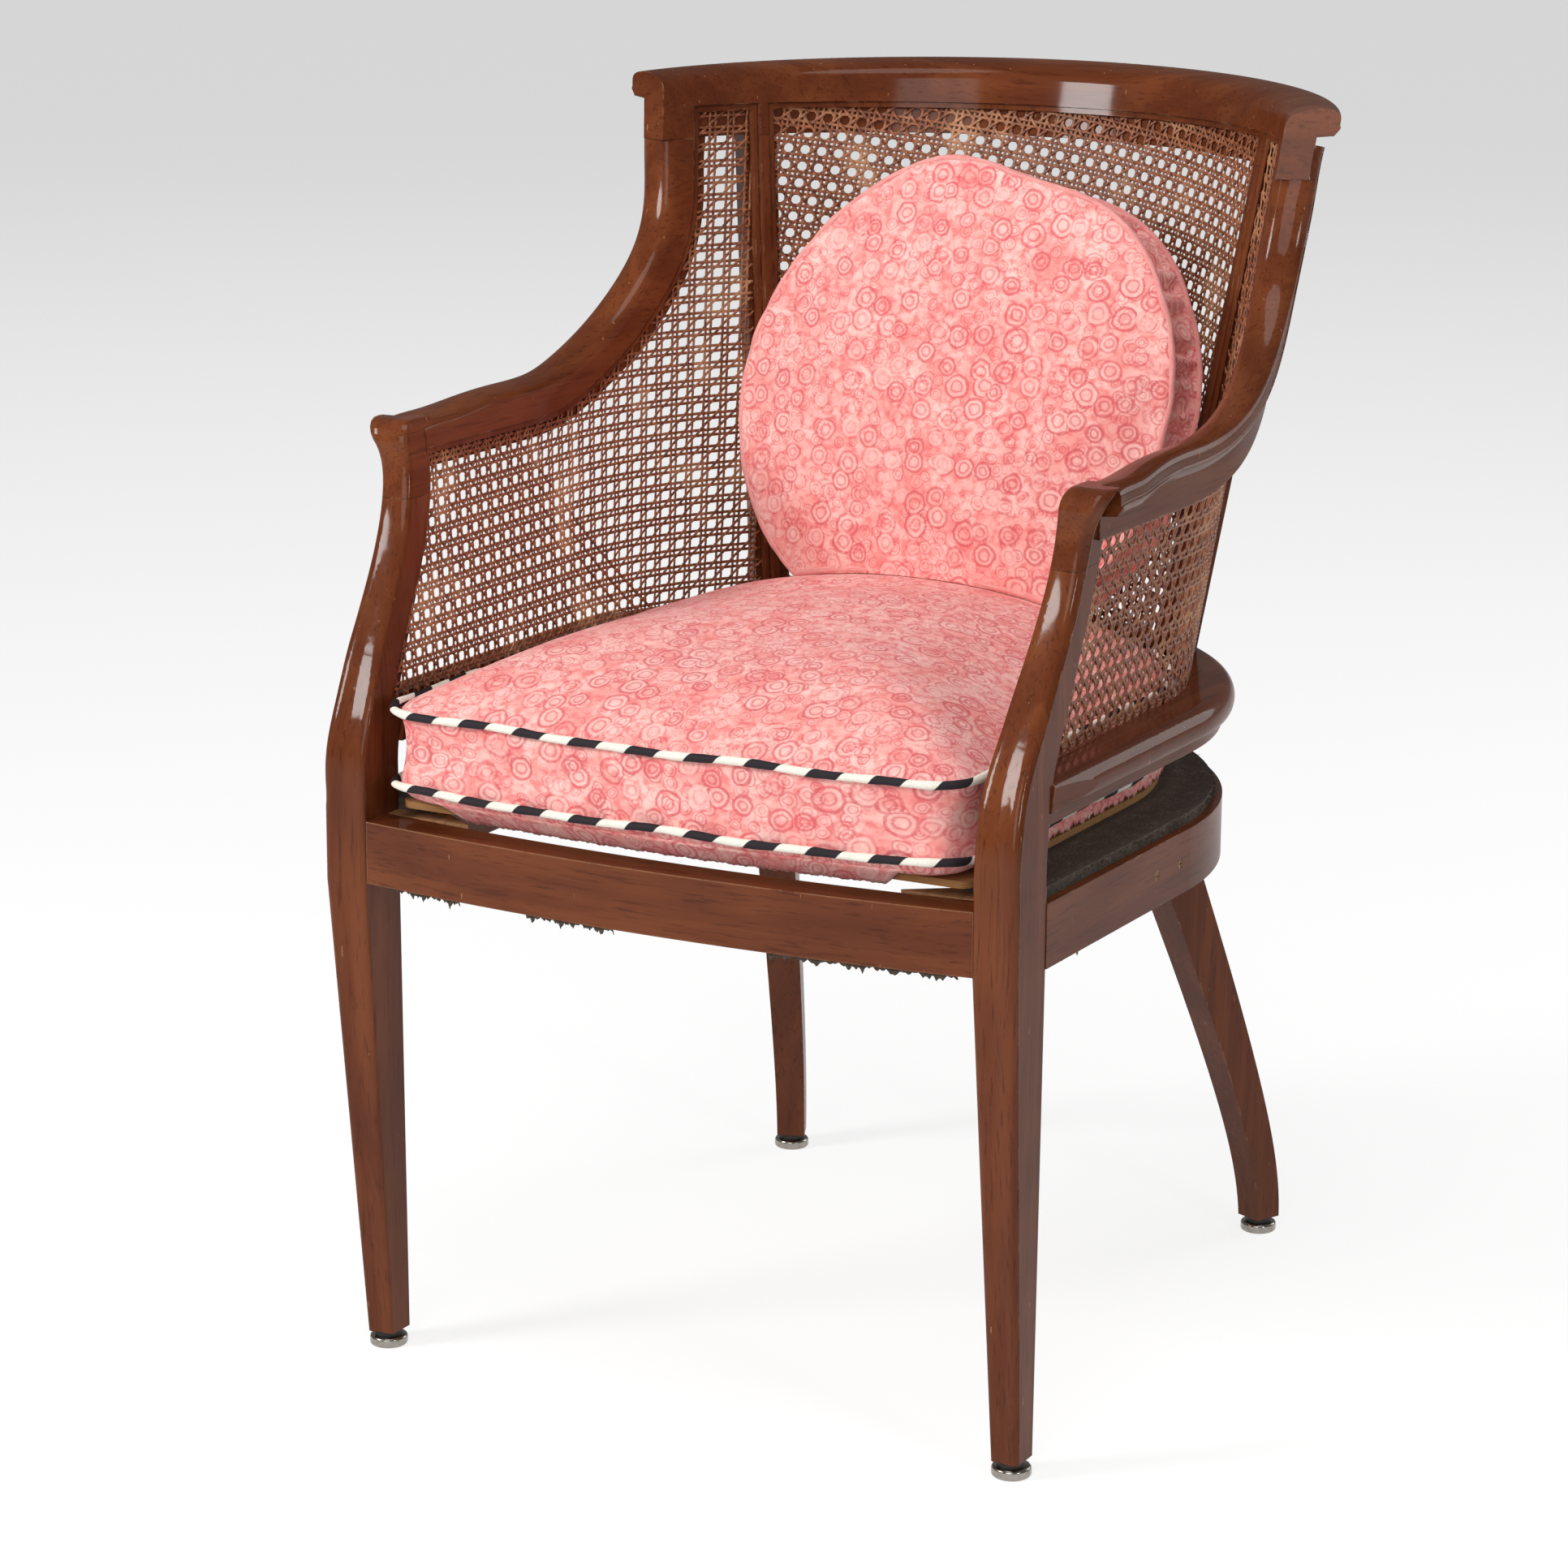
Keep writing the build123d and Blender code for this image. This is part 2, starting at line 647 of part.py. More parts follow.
def hoop_x(y, inset):
    """Half width of the seat hoop at a depth, inset from its outer face."""
    radius = HOOP_RADIUS - inset
    if y > HOOP_CENTRE_Y:
        return math.sqrt(radius**2 - (y - HOOP_CENTRE_Y) ** 2)
    narrow = HOOP_RADIUS - POST_INNER_X - POST_WIDTH
    return radius - narrow * (HOOP_CENTRE_Y - y) / (HOOP_CENTRE_Y - POST_BACK_Y)


def hoop_side(inset, width, front_y, end_angle, z):
    """Level face along one side of the seat hoop, from front_y round to end_angle."""
    outer = HOOP_RADIUS - inset
    inner = outer - width
    outer_front = Vector(hoop_x(front_y, inset), front_y, z)
    inner_front = Vector(hoop_x(front_y, inset + width), front_y, z)
    outer_end = on_circle(end_angle, outer, HOOP_CENTRE_Y, z)
    inner_end = on_circle(end_angle, inner, HOOP_CENTRE_Y, z)
    return closed_face([
        Edge.make_line(inner_front, outer_front),
        Edge.make_line(outer_front, on_circle(0, outer, HOOP_CENTRE_Y, z)),
        arc(0, end_angle, outer, HOOP_CENTRE_Y, z),
        Edge.make_line(outer_end, inner_end),
        arc(end_angle, 0, inner, HOOP_CENTRE_Y, z),
        Edge.make_line(on_circle(0, inner, HOOP_CENTRE_Y, z), inner_front),
    ])


def hoop_back(inset, width, angle, z):
    """Level face round the back of the seat hoop."""
    outer = HOOP_RADIUS - inset
    return arc_band(angle, outer - width, outer, HOOP_CENTRE_Y, z)


def mirrored(shape):
    return mirror(shape, about=Plane.YZ)


def both_sides(shapes):
    """The given solids and their mirror images as one list."""
    return shapes + [mirrored(shape) for shape in shapes]


def above(shape, z):
    return split(shape, bisect_by=Plane((0, 0, z)), keep=Keep.TOP)


def below(shape, z):
    return split(shape, bisect_by=Plane((0, 0, z)), keep=Keep.BOTTOM)


def rod(start, way, radius, length):
    """Round bar from a point along a direction."""
    plane = Plane(origin=start, z_dir=way)
    return Solid.make_cylinder(radius, length, plane)


def dowel(middle, way):
    """A dowel pin and the hole it fills in both pieces."""
    way = way.normalized()
    pin = rod(middle - way * (DOWEL_LENGTH / 2), way, DOWEL_RADIUS, DOWEL_LENGTH)
    hole_length = DOWEL_LENGTH + 2 * DOWEL_PLAY
    hole = rod(middle - way * (hole_length / 2), way, DOWEL_RADIUS + DOWEL_PLAY, hole_length)
    return pin, hole


def drilled(shape, pins):
    """A piece with the holes of its dowels taken out."""
    for pin, hole in pins:
        shape = shape - hole
    return shape


def drilled_both_sides(shape, pins):
    """A piece across the middle line, with the dowel holes of both its halves."""
    for hole in both_sides([hole for pin, hole in pins]):
        shape = shape - hole
    return shape


def crest_run():
    """The crest's moulding round the back, from ear to ear, leaning with the wall."""
    sections = []
    stations = 13
    for station in range(stations):
        share = station / (stations - 1)
        angle = blend(CREST_END_ANGLE, 180.0 - CREST_END_ANGLE, share)
        here = wall_point(angle, WALL_HEAD_Z)
        up = (wall_point(angle, WALL_HEAD_Z + 1.0) - here).normalized()
        out = wall_point(angle, WALL_HEAD_Z, 1.0) - here
        ridge = blend(CREST_END_RIDGE, CREST_RIDGE, math.sin(math.pi * share) ** CREST_ARCH_POWER)

        def place(outwards, upwards, here=here, out=out, up=up):
            return here + out * outwards + up * upwards

        sections.append(moulding(place, CREST_THICKNESS, CREST_LIP, ridge, CREST_LEDGE + CREST_TRIM))
    return above(Solid.make_loft(sections), CREST_FOOT_Z)


def lower_rail_section(place):
    """Face of the lower rail, a rounded nose over a small fascia; place gives a point for (outwards, z)."""
    inner = -FRAME_PROUD
    top = WALL_FOOT_Z
    nose = [(LOWER_RAIL_FASCIA, LOWER_RAIL_Z + FASCIA_HEIGHT)]
    nose += [(LOWER_RAIL_LIP - across, LOWER_RAIL_Z + up) for across, up in NOSE_UNDER]
    nose += [(LOWER_RAIL_LIP - across, top - down) for across, down in NOSE_OVER]
    return closed_face([
        Edge.make_line(place(inner, LOWER_RAIL_Z), place(LOWER_RAIL_FASCIA, LOWER_RAIL_Z)),
        Edge.make_line(place(LOWER_RAIL_FASCIA, LOWER_RAIL_Z), place(*nose[0])),
        Edge.make_line(place(*nose[0]), place(*nose[1])),
        Edge.make_spline([place(*point) for point in nose[1:]]),
        Edge.make_line(place(*nose[-1]), place(0, top)),
        Edge.make_line(place(0, top), place(inner, top)),
        Edge.make_line(place(inner, top), place(inner, LOWER_RAIL_Z)),
    ])


def lower_rail_side():
    """Lower rail from the back of the post round to the stile; its nose eases in to meet the post."""
    start_y = POST_BACK_Y - BEYOND

    def place(outwards, z):
        return Vector(WALL_FOOT_RADIUS + outwards, start_y, z)

    end_angle = STILE_FOOT_ANGLE - math.degrees(JOINT_GAP / WALL_FOOT_RADIUS)
    bend = on_circle(0, WALL_FOOT_RADIUS, WALL_FOOT_CENTRE_Y, WALL_FOOT_Z)
    path = Wire([
        Edge.make_line(place(0, WALL_FOOT_Z), bend),
        arc(0, end_angle, WALL_FOOT_RADIUS, WALL_FOOT_CENTRE_Y, WALL_FOOT_Z),
    ])
    rail = sweep(lower_rail_section(place), path=path)
    foot = Vector(0, post_back(LOWER_RAIL_Z) + JOINT_GAP, LOWER_RAIL_Z)
    head = Vector(0, post_back(WALL_FOOT_Z) + JOINT_GAP, WALL_FOOT_Z)
    up = head - foot
    rail = split(rail, bisect_by=Plane(origin=foot, z_dir=Vector(0, up.Z, -up.Y)), keep=Keep.TOP)
    flush_x = POST_INNER_X + POST_WIDTH - EDGE_STEP
    eased = upright(
        polygon([
            Vector(flush_x, foot.Y, LOWER_RAIL_Z),
            Vector(WALL_FOOT_RADIUS + LOWER_RAIL_LIP, foot.Y + NOSE_EASE, LOWER_RAIL_Z),
            Vector(flush_x + BEYOND, foot.Y + NOSE_EASE, LOWER_RAIL_Z),
            Vector(flush_x + BEYOND, foot.Y, LOWER_RAIL_Z),
        ]),
        WALL_FOOT_Z - LOWER_RAIL_Z,
    )
    return rail - eased


def lower_rail_back():
    def place(outwards, z):
        return on_circle(STILE_FOOT_ANGLE, WALL_FOOT_RADIUS + outwards, WALL_FOOT_CENTRE_Y, z)

    axis = Axis((0, WALL_FOOT_CENTRE_Y, 0), (0, 0, 1))
    return revolve(lower_rail_section(place), axis, 180.0 - 2 * STILE_FOOT_ANGLE)


def stile():
    """Straight upright between the lower rail and the crest, before its rabbets are cut."""
    ends = []
    for z in (WALL_FOOT_Z + JOINT_GAP, CREST_FOOT_Z - JOINT_GAP):
        angle = stile_angle(z)
        along = on_circle(angle, 1.0, 0.0, 0.0)
        depth = FRAME_PROUD + STILE_THICKNESS
        centre = wall_point(angle, z, (STILE_THICKNESS - FRAME_PROUD) / 2)
        ends.append(rectangle(centre, along, STILE_WIDTH, depth))
    return loft(ends, ruled=True)


def stub_post():
    along = on_circle(STILE_FOOT_ANGLE, 1.0, 0.0, 0.0)
    centre = on_circle(STILE_FOOT_ANGLE, STUB_RADIUS, WALL_FOOT_CENTRE_Y, RAIL_TOP_Z + JOINT_GAP)
    height = LOWER_RAIL_Z - RAIL_TOP_Z - 2 * JOINT_GAP
    return upright(rectangle(centre, along, STUB_WIDTH, STUB_DEPTH), height)


def front_rail():
    """Bowed rail between the front posts."""
    end_x = POST_INNER_X - JOINT_GAP
    end_y = POST_FRONT_Y + FRONT_RAIL_SETBACK
    middle_y = end_y - FRONT_RAIL_BOW
    back = Vector(0, FRONT_RAIL_THICKNESS, 0)
    plan = ((-end_x, end_y), (0, middle_y), (end_x, end_y))
    front_ends = [Vector(x, y, SEAT_RAIL_Z) for x, y in plan]
    back_ends = [point + back for point in reversed(front_ends)]
    face = closed_face([
        Edge.make_three_point_arc(*front_ends),
        Edge.make_line(front_ends[2], back_ends[0]),
        Edge.make_three_point_arc(*back_ends),
        Edge.make_line(back_ends[2], front_ends[0]),
    ])
    return upright(face, SEAT_RAIL_HEIGHT)


def corner_block():
    """Glued block that ties the front rail, the post and the side rail together."""
    outer = POST_INNER_X - JOINT_GAP
    front = POST_FRONT_Y + FRONT_RAIL_SETBACK + FRONT_RAIL_THICKNESS + JOINT_GAP
    z = RAIL_TOP_Z - CORNER_BLOCK_DEPTH
    back_y = POST_BACK_Y + CORNER_BLOCK / 2
    side_x = min(hoop_x(y, HOOP_THICKNESS) for y in (POST_BACK_Y, back_y)) - JOINT_GAP
    face = polygon([
        Vector(outer, front, z),
        Vector(outer, POST_BACK_Y, z),
        Vector(side_x, POST_BACK_Y, z),
        Vector(side_x, back_y, z),
        Vector(side_x - CORNER_BLOCK, front, z),
    ])
    return upright(face, CORNER_BLOCK_DEPTH)


def d_wire(z, half_width, front_y, bow, centre_y, corner):
    """Level D outline: a bowed front with rounded corners, straight sides and a round back."""
    front_left = Vector(-half_width, front_y, z)
    front_right = Vector(half_width, front_y, z)
    right = on_circle(0, half_width, centre_y, z)
    left = on_circle(180, half_width, centre_y, z)
    wire = Wire([
        Edge.make_three_point_arc(front_left, Vector(0, front_y - bow, z), front_right),
        Edge.make_line(front_right, right),
        arc(0, 90, half_width, centre_y, z),
        arc(90, 180, half_width, centre_y, z),
        Edge.make_line(left, front_left),
    ])
    corners = [vertex for vertex in wire.vertices() if abs(vertex.Y - front_y) < 0.01]
    return wire.fillet_2d(corner, corners)


def cushion_wire(z, inset):
    """Outline of the seat cushion at a level, drawn in by inset."""
    corner = max(CUSHION_CORNER - inset * CUSHION_CORNER_EASE, CUSHION_CORNER_LEAST)
    return d_wire(
        z,
        CUSHION_HALF_WIDTH - inset,
        CUSHION_FRONT_Y + inset,
        CUSHION_BOW,
        WALL_FOOT_CENTRE_Y,
        corner,
    )


def crown_z(inset):
    """Height of the seat cushion's top at a distance in from its edge."""
    share = inset / (CUSHION_HALF_WIDTH * CUSHION_CROWN_REACH)
    return UPPER_WELT_Z + CUSHION_CROWN * (1 - (1 - share) ** CUSHION_FULLNESS)


def seat_cushion():
    """Boxed cushion with drawn-in sides and a crown."""
    sections = []
    for turn in (90, 60, 30):
        drop = CUSHION_UNDERSIDE * math.sin(math.radians(turn))
        inset = CUSHION_UNDER_INSET * (1 - math.cos(math.radians(turn)))
        sections.append(cushion_wire(LOWER_WELT_Z - drop, inset))
    for share in (0.0, 0.25, 0.5, 0.75, 1.0):
        draw = CUSHION_DRAW * math.sin(math.pi * share)
        sections.append(cushion_wire(blend(LOWER_WELT_Z, UPPER_WELT_Z, share), draw))
    for share in (0.05, 0.13, 0.25, 0.4, 0.6, 0.8, 1.0):
        inset = CUSHION_HALF_WIDTH * CUSHION_CROWN_REACH * share
        sections.append(cushion_wire(crown_z(inset), inset))
    return Solid.make_loft(sections, ruled=True)


def cushion_welt(z):
    """Piping cord along the cushion's edge."""
    path = cushion_wire(z, -WELT_RADIUS - JOINT_GAP)
    start = path @ 0
    ring = Face(Wire(Edge.make_circle(WELT_RADIUS, Plane(origin=start, z_dir=path % 0))))
    return sweep(ring, path=path)


def pillow_centre():
    """Middle of the back cushion, with the rear edge of its boxing just clear of the barrel wall."""
    room = wall_radius(PILLOW_Z) - FRAME_PROUD - PILLOW_SPARE
    rear_y = wall_centre(PILLOW_Z) + math.sqrt(room**2 - (PILLOW_RADIUS + PILLOW_X) ** 2)
    y = rear_y - PILLOW_BOXING / 2 * math.cos(math.radians(PILLOW_LEAN))
    return Vector(PILLOW_X, y, PILLOW_Z)


def pillow_place(shape):
    """Leans a shape drawn upright about the Y axis into the barrel."""
    return Pos(*pillow_centre()) * Rot(-PILLOW_LEAN, 0, 0) * shape


def pillow_rest():
    """Plane just above the seat cushion's crown where the round cushion stands on it."""
    foot_y = pillow_centre().Y - PILLOW_RADIUS * math.sin(math.radians(PILLOW_LEAN))
    inset = WALL_FOOT_CENTRE_Y + CUSHION_HALF_WIDTH - foot_y
    slope = crown_z(inset + 0.5) - crown_z(inset - 0.5)
    return Plane(origin=(0, foot_y, crown_z(inset) + LOOSE_GAP), z_dir=(0, slope, 1))


def pillow():
    """Round boxed cushion turned about its own axis: two crowns and a drawn-in boxing."""
    front = -PILLOW_BOXING / 2
    rear = PILLOW_BOXING / 2
    shoulder = PILLOW_SHOULDER_SHARE * PILLOW_RADIUS
    front_crown = [
        Vector(0, front - PILLOW_FRONT_CROWN, 0),
        Vector(shoulder, front - PILLOW_SHOULDER_RISE_SHARE * PILLOW_FRONT_CROWN, 0),
        Vector(PILLOW_RADIUS, front, 0),
    ]
    rear_crown = [
        Vector(PILLOW_RADIUS, rear, 0),
        Vector(shoulder, rear + PILLOW_SHOULDER_RISE_SHARE * PILLOW_REAR_CROWN, 0),
        Vector(0, rear + PILLOW_REAR_CROWN, 0),
    ]
    waist = Vector(PILLOW_RADIUS - PILLOW_DRAW, 0, 0)
    half = closed_face([
        Edge.make_spline(front_crown, tangents=[Vector(1, 0, 0), Vector(0.5, 0.87, 0)]),
        Edge.make_three_point_arc(front_crown[-1], waist, rear_crown[0]),
        Edge.make_spline(rear_crown, tangents=[Vector(-0.5, 0.87, 0), Vector(-1, 0, 0)]),
        Edge.make_line(rear_crown[-1], front_crown[0]),
    ])
    whole = pillow_place(revolve(half, Axis.Y, 360))
    return split(whole, bisect_by=pillow_rest(), keep=Keep.TOP)


def pillow_welt(y):
    """Piping round the back cushion's edge, open at the foot where the cushion is flattened."""
    rest = pillow_rest()
    lean = math.radians(PILLOW_LEAN)
    centre = pillow_centre() + Vector(0, y * math.cos(lean), -y * math.sin(lean))
    down = Vector(0, -math.sin(lean), -math.cos(lean))
    reach = (rest.origin - centre).dot(rest.z_dir) / down.dot(rest.z_dir)
    ring = PILLOW_RADIUS + PILLOW_WELT_RADIUS + JOINT_GAP
    gap = math.acos(min(reach / (ring + PILLOW_WELT_RADIUS), 1.0))
    start = Vector(-ring * math.sin(gap), y, -ring * math.cos(gap))
    way = Vector(-math.cos(gap), 0, math.sin(gap))
    cord = Face(Wire(Edge.make_circle(PILLOW_WELT_RADIUS, Plane(origin=start, z_dir=way))))
    return pillow_place(revolve(cord, Axis.Y, 360 - 2 * math.degrees(gap)))


def feet():
    """Floor points under the two left legs."""
    return [Vector(FRONT_FOOT_X, FRONT_FOOT_Y, 0), Vector(REAR_FOOT_X, REAR_FOOT_Y, 0)]


def glide_cap(foot):
    """Domed nickel cap with a flat underside."""
    cap = rod(foot, Vector(0, 0, 1), GLIDE_RADIUS, GLIDE_CAP_HEIGHT - JOINT_GAP)
    return fillet(cap.edges(), GLIDE_CAP_HEIGHT * 0.3)


def glide_neck(foot):
    base = foot + Vector(0, 0, GLIDE_CAP_HEIGHT)
    return rod(base, Vector(0, 0, 1), GLIDE_NECK_RADIUS, GLIDE_NECK_HEIGHT - JOINT_GAP)


def glide_nail(foot, spare):
    base = foot + Vector(0, 0, GLIDE_CAP_HEIGHT / 2 - spare)
    return rod(base, Vector(0, 0, 1), NAIL_RADIUS + spare, NAIL_LENGTH + 2 * spare)


def rail_screws():
    """Screws through the side rail into the block behind it, with their clearance holes."""
    screws = []
    holes = []
    inwards = Vector(-1, 0, 0)
    wide = SCREW_SHANK_RADIUS + DOWEL_PLAY
    tall_slot = Box(2 * SCREW_SLOT_DEPTH, SCREW_SLOT_WIDTH, SCREW_SLOT_LENGTH)
    level_slot = Box(2 * SCREW_SLOT_DEPTH, SCREW_SLOT_LENGTH, SCREW_SLOT_WIDTH)
    z = SEAT_RAIL_Z + SEAT_RAIL_HEIGHT / 2
    for offset in (-SCREW_SPACING / 2, SCREW_SPACING / 2):
        y = SIDE_BLOCK_Y + offset
        x = hoop_x(y, 0.0)
        face = Plane((x, y, z), z_dir=inwards)
        head = Solid.make_cone(SCREW_HEAD_RADIUS, SCREW_SHANK_RADIUS, SCREW_HEAD_RADIUS, face)
        shank = rod(Vector(x, y, z), inwards, SCREW_SHANK_RADIUS, SCREW_LENGTH)
        slots = Pos(x, y, z) * (tall_slot + level_slot)
        screws.append(head + shank - slots)
        sink = Solid.make_cone(SCREW_HEAD_RADIUS + DOWEL_PLAY, wide, SCREW_HEAD_RADIUS, face)
        bore = rod(Vector(x + SINK_SPARE, y, z), inwards, wide, SCREW_LENGTH + SINK_SPARE + DOWEL_PLAY)
        holes.append(sink + bore)
    return screws, holes


def side_block():
    """Block screwed inside the side rail."""
    y_range = (SIDE_BLOCK_Y - SIDE_BLOCK_LENGTH / 2, SIDE_BLOCK_Y + SIDE_BLOCK_LENGTH / 2)
    outer_x = min(hoop_x(y, HOOP_THICKNESS) for y in y_range) - JOINT_GAP
    z = SEAT_RAIL_Z + (SEAT_RAIL_HEIGHT - SIDE_BLOCK_HEIGHT) / 2
    return box_between((outer_x - SIDE_BLOCK_THICKNESS, outer_x), y_range, (z, z + SIDE_BLOCK_HEIGHT))


def dust_strips():
    """Strips of the old dust cover, still tacked under the rails."""
    z = SEAT_RAIL_Z - DUST_STRIP_THICKNESS
    inset = (HOOP_THICKNESS - DUST_STRIP_WIDTH) / 2
    side_face = hoop_side(inset, DUST_STRIP_WIDTH, POST_BACK_Y + DUST_SETBACK, DUST_SIDE_END_ANGLE, z)
    side = upright(side_face, DUST_STRIP_THICKNESS)
    back = upright(hoop_back(inset, DUST_STRIP_WIDTH, DUST_BACK_ANGLE, z), DUST_STRIP_THICKNESS)
    strips = both_sides([side]) + [back]
    middle_y = POST_FRONT_Y + FRONT_RAIL_SETBACK + FRONT_RAIL_THICKNESS / 2
    for start, end in DUST_FRONT_SPANS:
        x_range = (start * POST_INNER_X, end * POST_INNER_X)
        bow = FRONT_RAIL_BOW * (1 - ((start + end) / 2) ** 2)
        y_range = (middle_y - bow - DUST_STRIP_WIDTH / 4, middle_y - bow + DUST_STRIP_WIDTH / 2)
        strips.append(box_between(x_range, y_range, (z, SEAT_RAIL_Z)))
    return strips


def build():
    """All pieces of the chair by name, each a list of solids, about the working origin."""
    nodes = {}
    up = Vector(0, 0, 1)

    rabbet = side_panel(-BEYOND, RABBET_DEPTH, 0.0)
    back_rabbet = back_wall(-BEYOND, RABBET_DEPTH, 0.0)
    rabbets = [rabbet, mirrored(rabbet), back_rabbet]

    # Dowel joints on the chair's left side
    post_middle_x = (post_inner(POST_JOINT_Z) + post_lip(POST_JOINT_Z)) / 2
    post_middle = Vector(post_middle_x, post_front(POST_JOINT_Z) + POST_FACE / 2, POST_JOINT_Z)
    arm_pins = [dowel(post_middle, up)]
    sweep_y = BORDER_HEAD_Y - CREST_DOWEL_SETBACK
    sweep_x = wall_x(sweep_y, CREST_FOOT_Z) + FRAME_PROUD
    sweep_middle = Vector(sweep_x, sweep_y - CREST_DOWEL_SHIFT, CREST_FOOT_Z)
    crest_pins = [dowel(sweep_middle, Vector(CREST_DOWEL_WAY))]
    rail_z = [SEAT_RAIL_Z + SEAT_RAIL_HEIGHT * share for share in RAIL_DOWEL_SHARES]
    front_y = POST_FRONT_Y + FRONT_RAIL_SETBACK + FRONT_RAIL_THICKNESS / 2
    front_pins = [dowel(Vector(POST_INNER_X, front_y, z), Vector(1, 0, 0)) for z in rail_z]
    side_x = POST_INNER_X + POST_WIDTH / 2
    side_pins = [dowel(Vector(side_x, POST_BACK_Y, z), Vector(0, 1, 0)) for z in rail_z]
    leg_top = Vector(REAR_TOP_X, REAR_TOP_Y, SEAT_RAIL_Z)
    leg_pins = [dowel(leg_top + on_circle(REAR_SWEEP_ANGLE, LEG_DOWEL_OFFSET, 0, 0), up)]
    stub_foot = on_circle(STILE_FOOT_ANGLE, STUB_RADIUS, WALL_FOOT_CENTRE_Y, RAIL_TOP_Z)
    stub_pins = [dowel(stub_foot, up), dowel(stub_foot + up * (LOWER_RAIL_Z - RAIL_TOP_Z), up)]
    stile_middle = (STILE_THICKNESS - FRAME_PROUD) / 2
    stile_foot = wall_point(stile_angle(WALL_FOOT_Z), WALL_FOOT_Z, stile_middle)
    stile_head = wall_point(stile_angle(CREST_FOOT_Z), CREST_FOOT_Z, stile_middle)
    stile_pins = [dowel(end, stile_head - stile_foot) for end in (stile_foot, stile_head)]
    hoop_joint = on_circle(HOOP_JOINT_ANGLE, HOOP_RADIUS - HOOP_THICKNESS / 2, HOOP_CENTRE_Y, 0)
    round_hoop = on_circle(HOOP_JOINT_ANGLE + 90, 1.0, 0, 0)
    hoop_pins = [dowel(hoop_joint + up * z, round_hoop) for z in rail_z]

    # Front posts and rear legs
    upper = post_upper()
    post = front_leg() + below(upper, POST_JOINT_Z - JOINT_GAP)
    post = drilled(post - rabbet, arm_pins + front_pins + side_pins)
    leg = drilled(rear_leg(), leg_pins)
    for foot in feet():
        post = post - glide_nail(foot, DOWEL_PLAY)
        leg = leg - glide_nail(foot, DOWEL_PLAY)
    nodes["front_post_left"] = [post]
    nodes["front_post_right"] = [mirrored(post)]
    nodes["rear_leg_left"] = [leg]
    nodes["rear_leg_right"] = [mirrored(leg)]

    # Arms and crest
    run = arm_run()
    arm = above(upper, POST_JOINT_Z) + below(run, CREST_FOOT_Z - JOINT_GAP)
    arm = drilled(arm - rabbet, arm_pins + crest_pins)
    nodes["arm_left"] = [arm]
    nodes["arm_right"] = [mirrored(arm)]
    stub_top = above(run, CREST_FOOT_Z)
    crest = crest_run() + stub_top + mirrored(stub_top)
    for cut in rabbets:
        crest = crest - cut
    nodes["crest_rail"] = [drilled_both_sides(crest, crest_pins + stile_pins)]

    # Lower rail, stiles and stub posts
    rail = drilled(lower_rail_side() - rabbet - back_rabbet, stub_pins + stile_pins)
    nodes["lower_rail_left"] = [rail]
    nodes["lower_rail_right"] = [mirrored(rail)]
    back_rail = lower_rail_back()
    for cut in rabbets:
        back_rail = back_rail - cut
    nodes["lower_rail_back"] = [drilled_both_sides(back_rail, stub_pins + stile_pins)]
    upright_stile = drilled(stile() - rabbet - back_rabbet, stile_pins)
    nodes["back_stile_left"] = [upright_stile]
    nodes["back_stile_right"] = [mirrored(upright_stile)]
    stub = drilled(stub_post(), stub_pins)
    nodes["stub_post_left"] = [stub]
    nodes["stub_post_right"] = [mirrored(stub)]

    # Seat rails, blocks and screws
    screws, screw_holes = rail_screws()
    nodes["seat_rail_front"] = [drilled_both_sides(front_rail(), front_pins)]
    side_face = hoop_side(0, HOOP_THICKNESS, POST_BACK_Y + JOINT_GAP, HOOP_JOINT_ANGLE, SEAT_RAIL_Z)
    side_rail = drilled(upright(side_face, SEAT_RAIL_HEIGHT), side_pins + hoop_pins)
    block = side_block()
    for hole in screw_holes:
        side_rail = side_rail - hole
        block = block - hole
    nodes["seat_rail_left"] = [side_rail]
    nodes["seat_rail_right"] = [mirrored(side_rail)]
    rear_angle = HOOP_JOINT_ANGLE + math.degrees(JOINT_GAP / HOOP_RADIUS)
    rear_rail = upright(hoop_back(0, HOOP_THICKNESS, rear_angle, SEAT_RAIL_Z), SEAT_RAIL_HEIGHT)
    nodes["seat_rail_back"] = [drilled_both_sides(rear_rail, leg_pins + stub_pins + hoop_pins)]
    nodes["side_block_left"] = [block]
    nodes["side_block_right"] = [mirrored(block)]
    nodes["corner_block_left"] = [corner_block()]
    nodes["corner_block_right"] = [mirrored(corner_block())]
    nodes["rail_screws"] = both_sides(screws)
    nodes["dust_cover_strips"] = dust_strips()

    # Deck and board under the cushion
    deck_face = hoop_side(DECK_INSET, DECK_WIDTH, POST_BACK_Y + LOOSE_GAP, 90.0, RAIL_TOP_Z)
    deck = upright(deck_face, DECK_THICKNESS)
    notch = on_circle(STILE_FOOT_ANGLE, STUB_RADIUS, WALL_FOOT_CENTRE_Y, RAIL_TOP_Z)
    along = on_circle(STILE_FOOT_ANGLE, 1.0, 0.0, 0.0)
    notch_face = rectangle(notch, along, STUB_WIDTH + 2 * LOOSE_GAP, STUB_DEPTH + 2 * LOOSE_GAP)
    deck = deck - upright(notch_face, DECK_THICKNESS)
    nodes["seat_deck"] = [deck + mirrored(deck)]
    board_centre = WALL_FOOT_CENTRE_Y - BOARD_SETBACK
    board = d_wire(DECK_TOP_Z, BOARD_HALF_WIDTH, BOARD_FRONT_Y, BOARD_BOW, board_centre, BOARD_CORNER)
    nodes["seat_board"] = [upright(Face(board), BOARD_THICKNESS)]

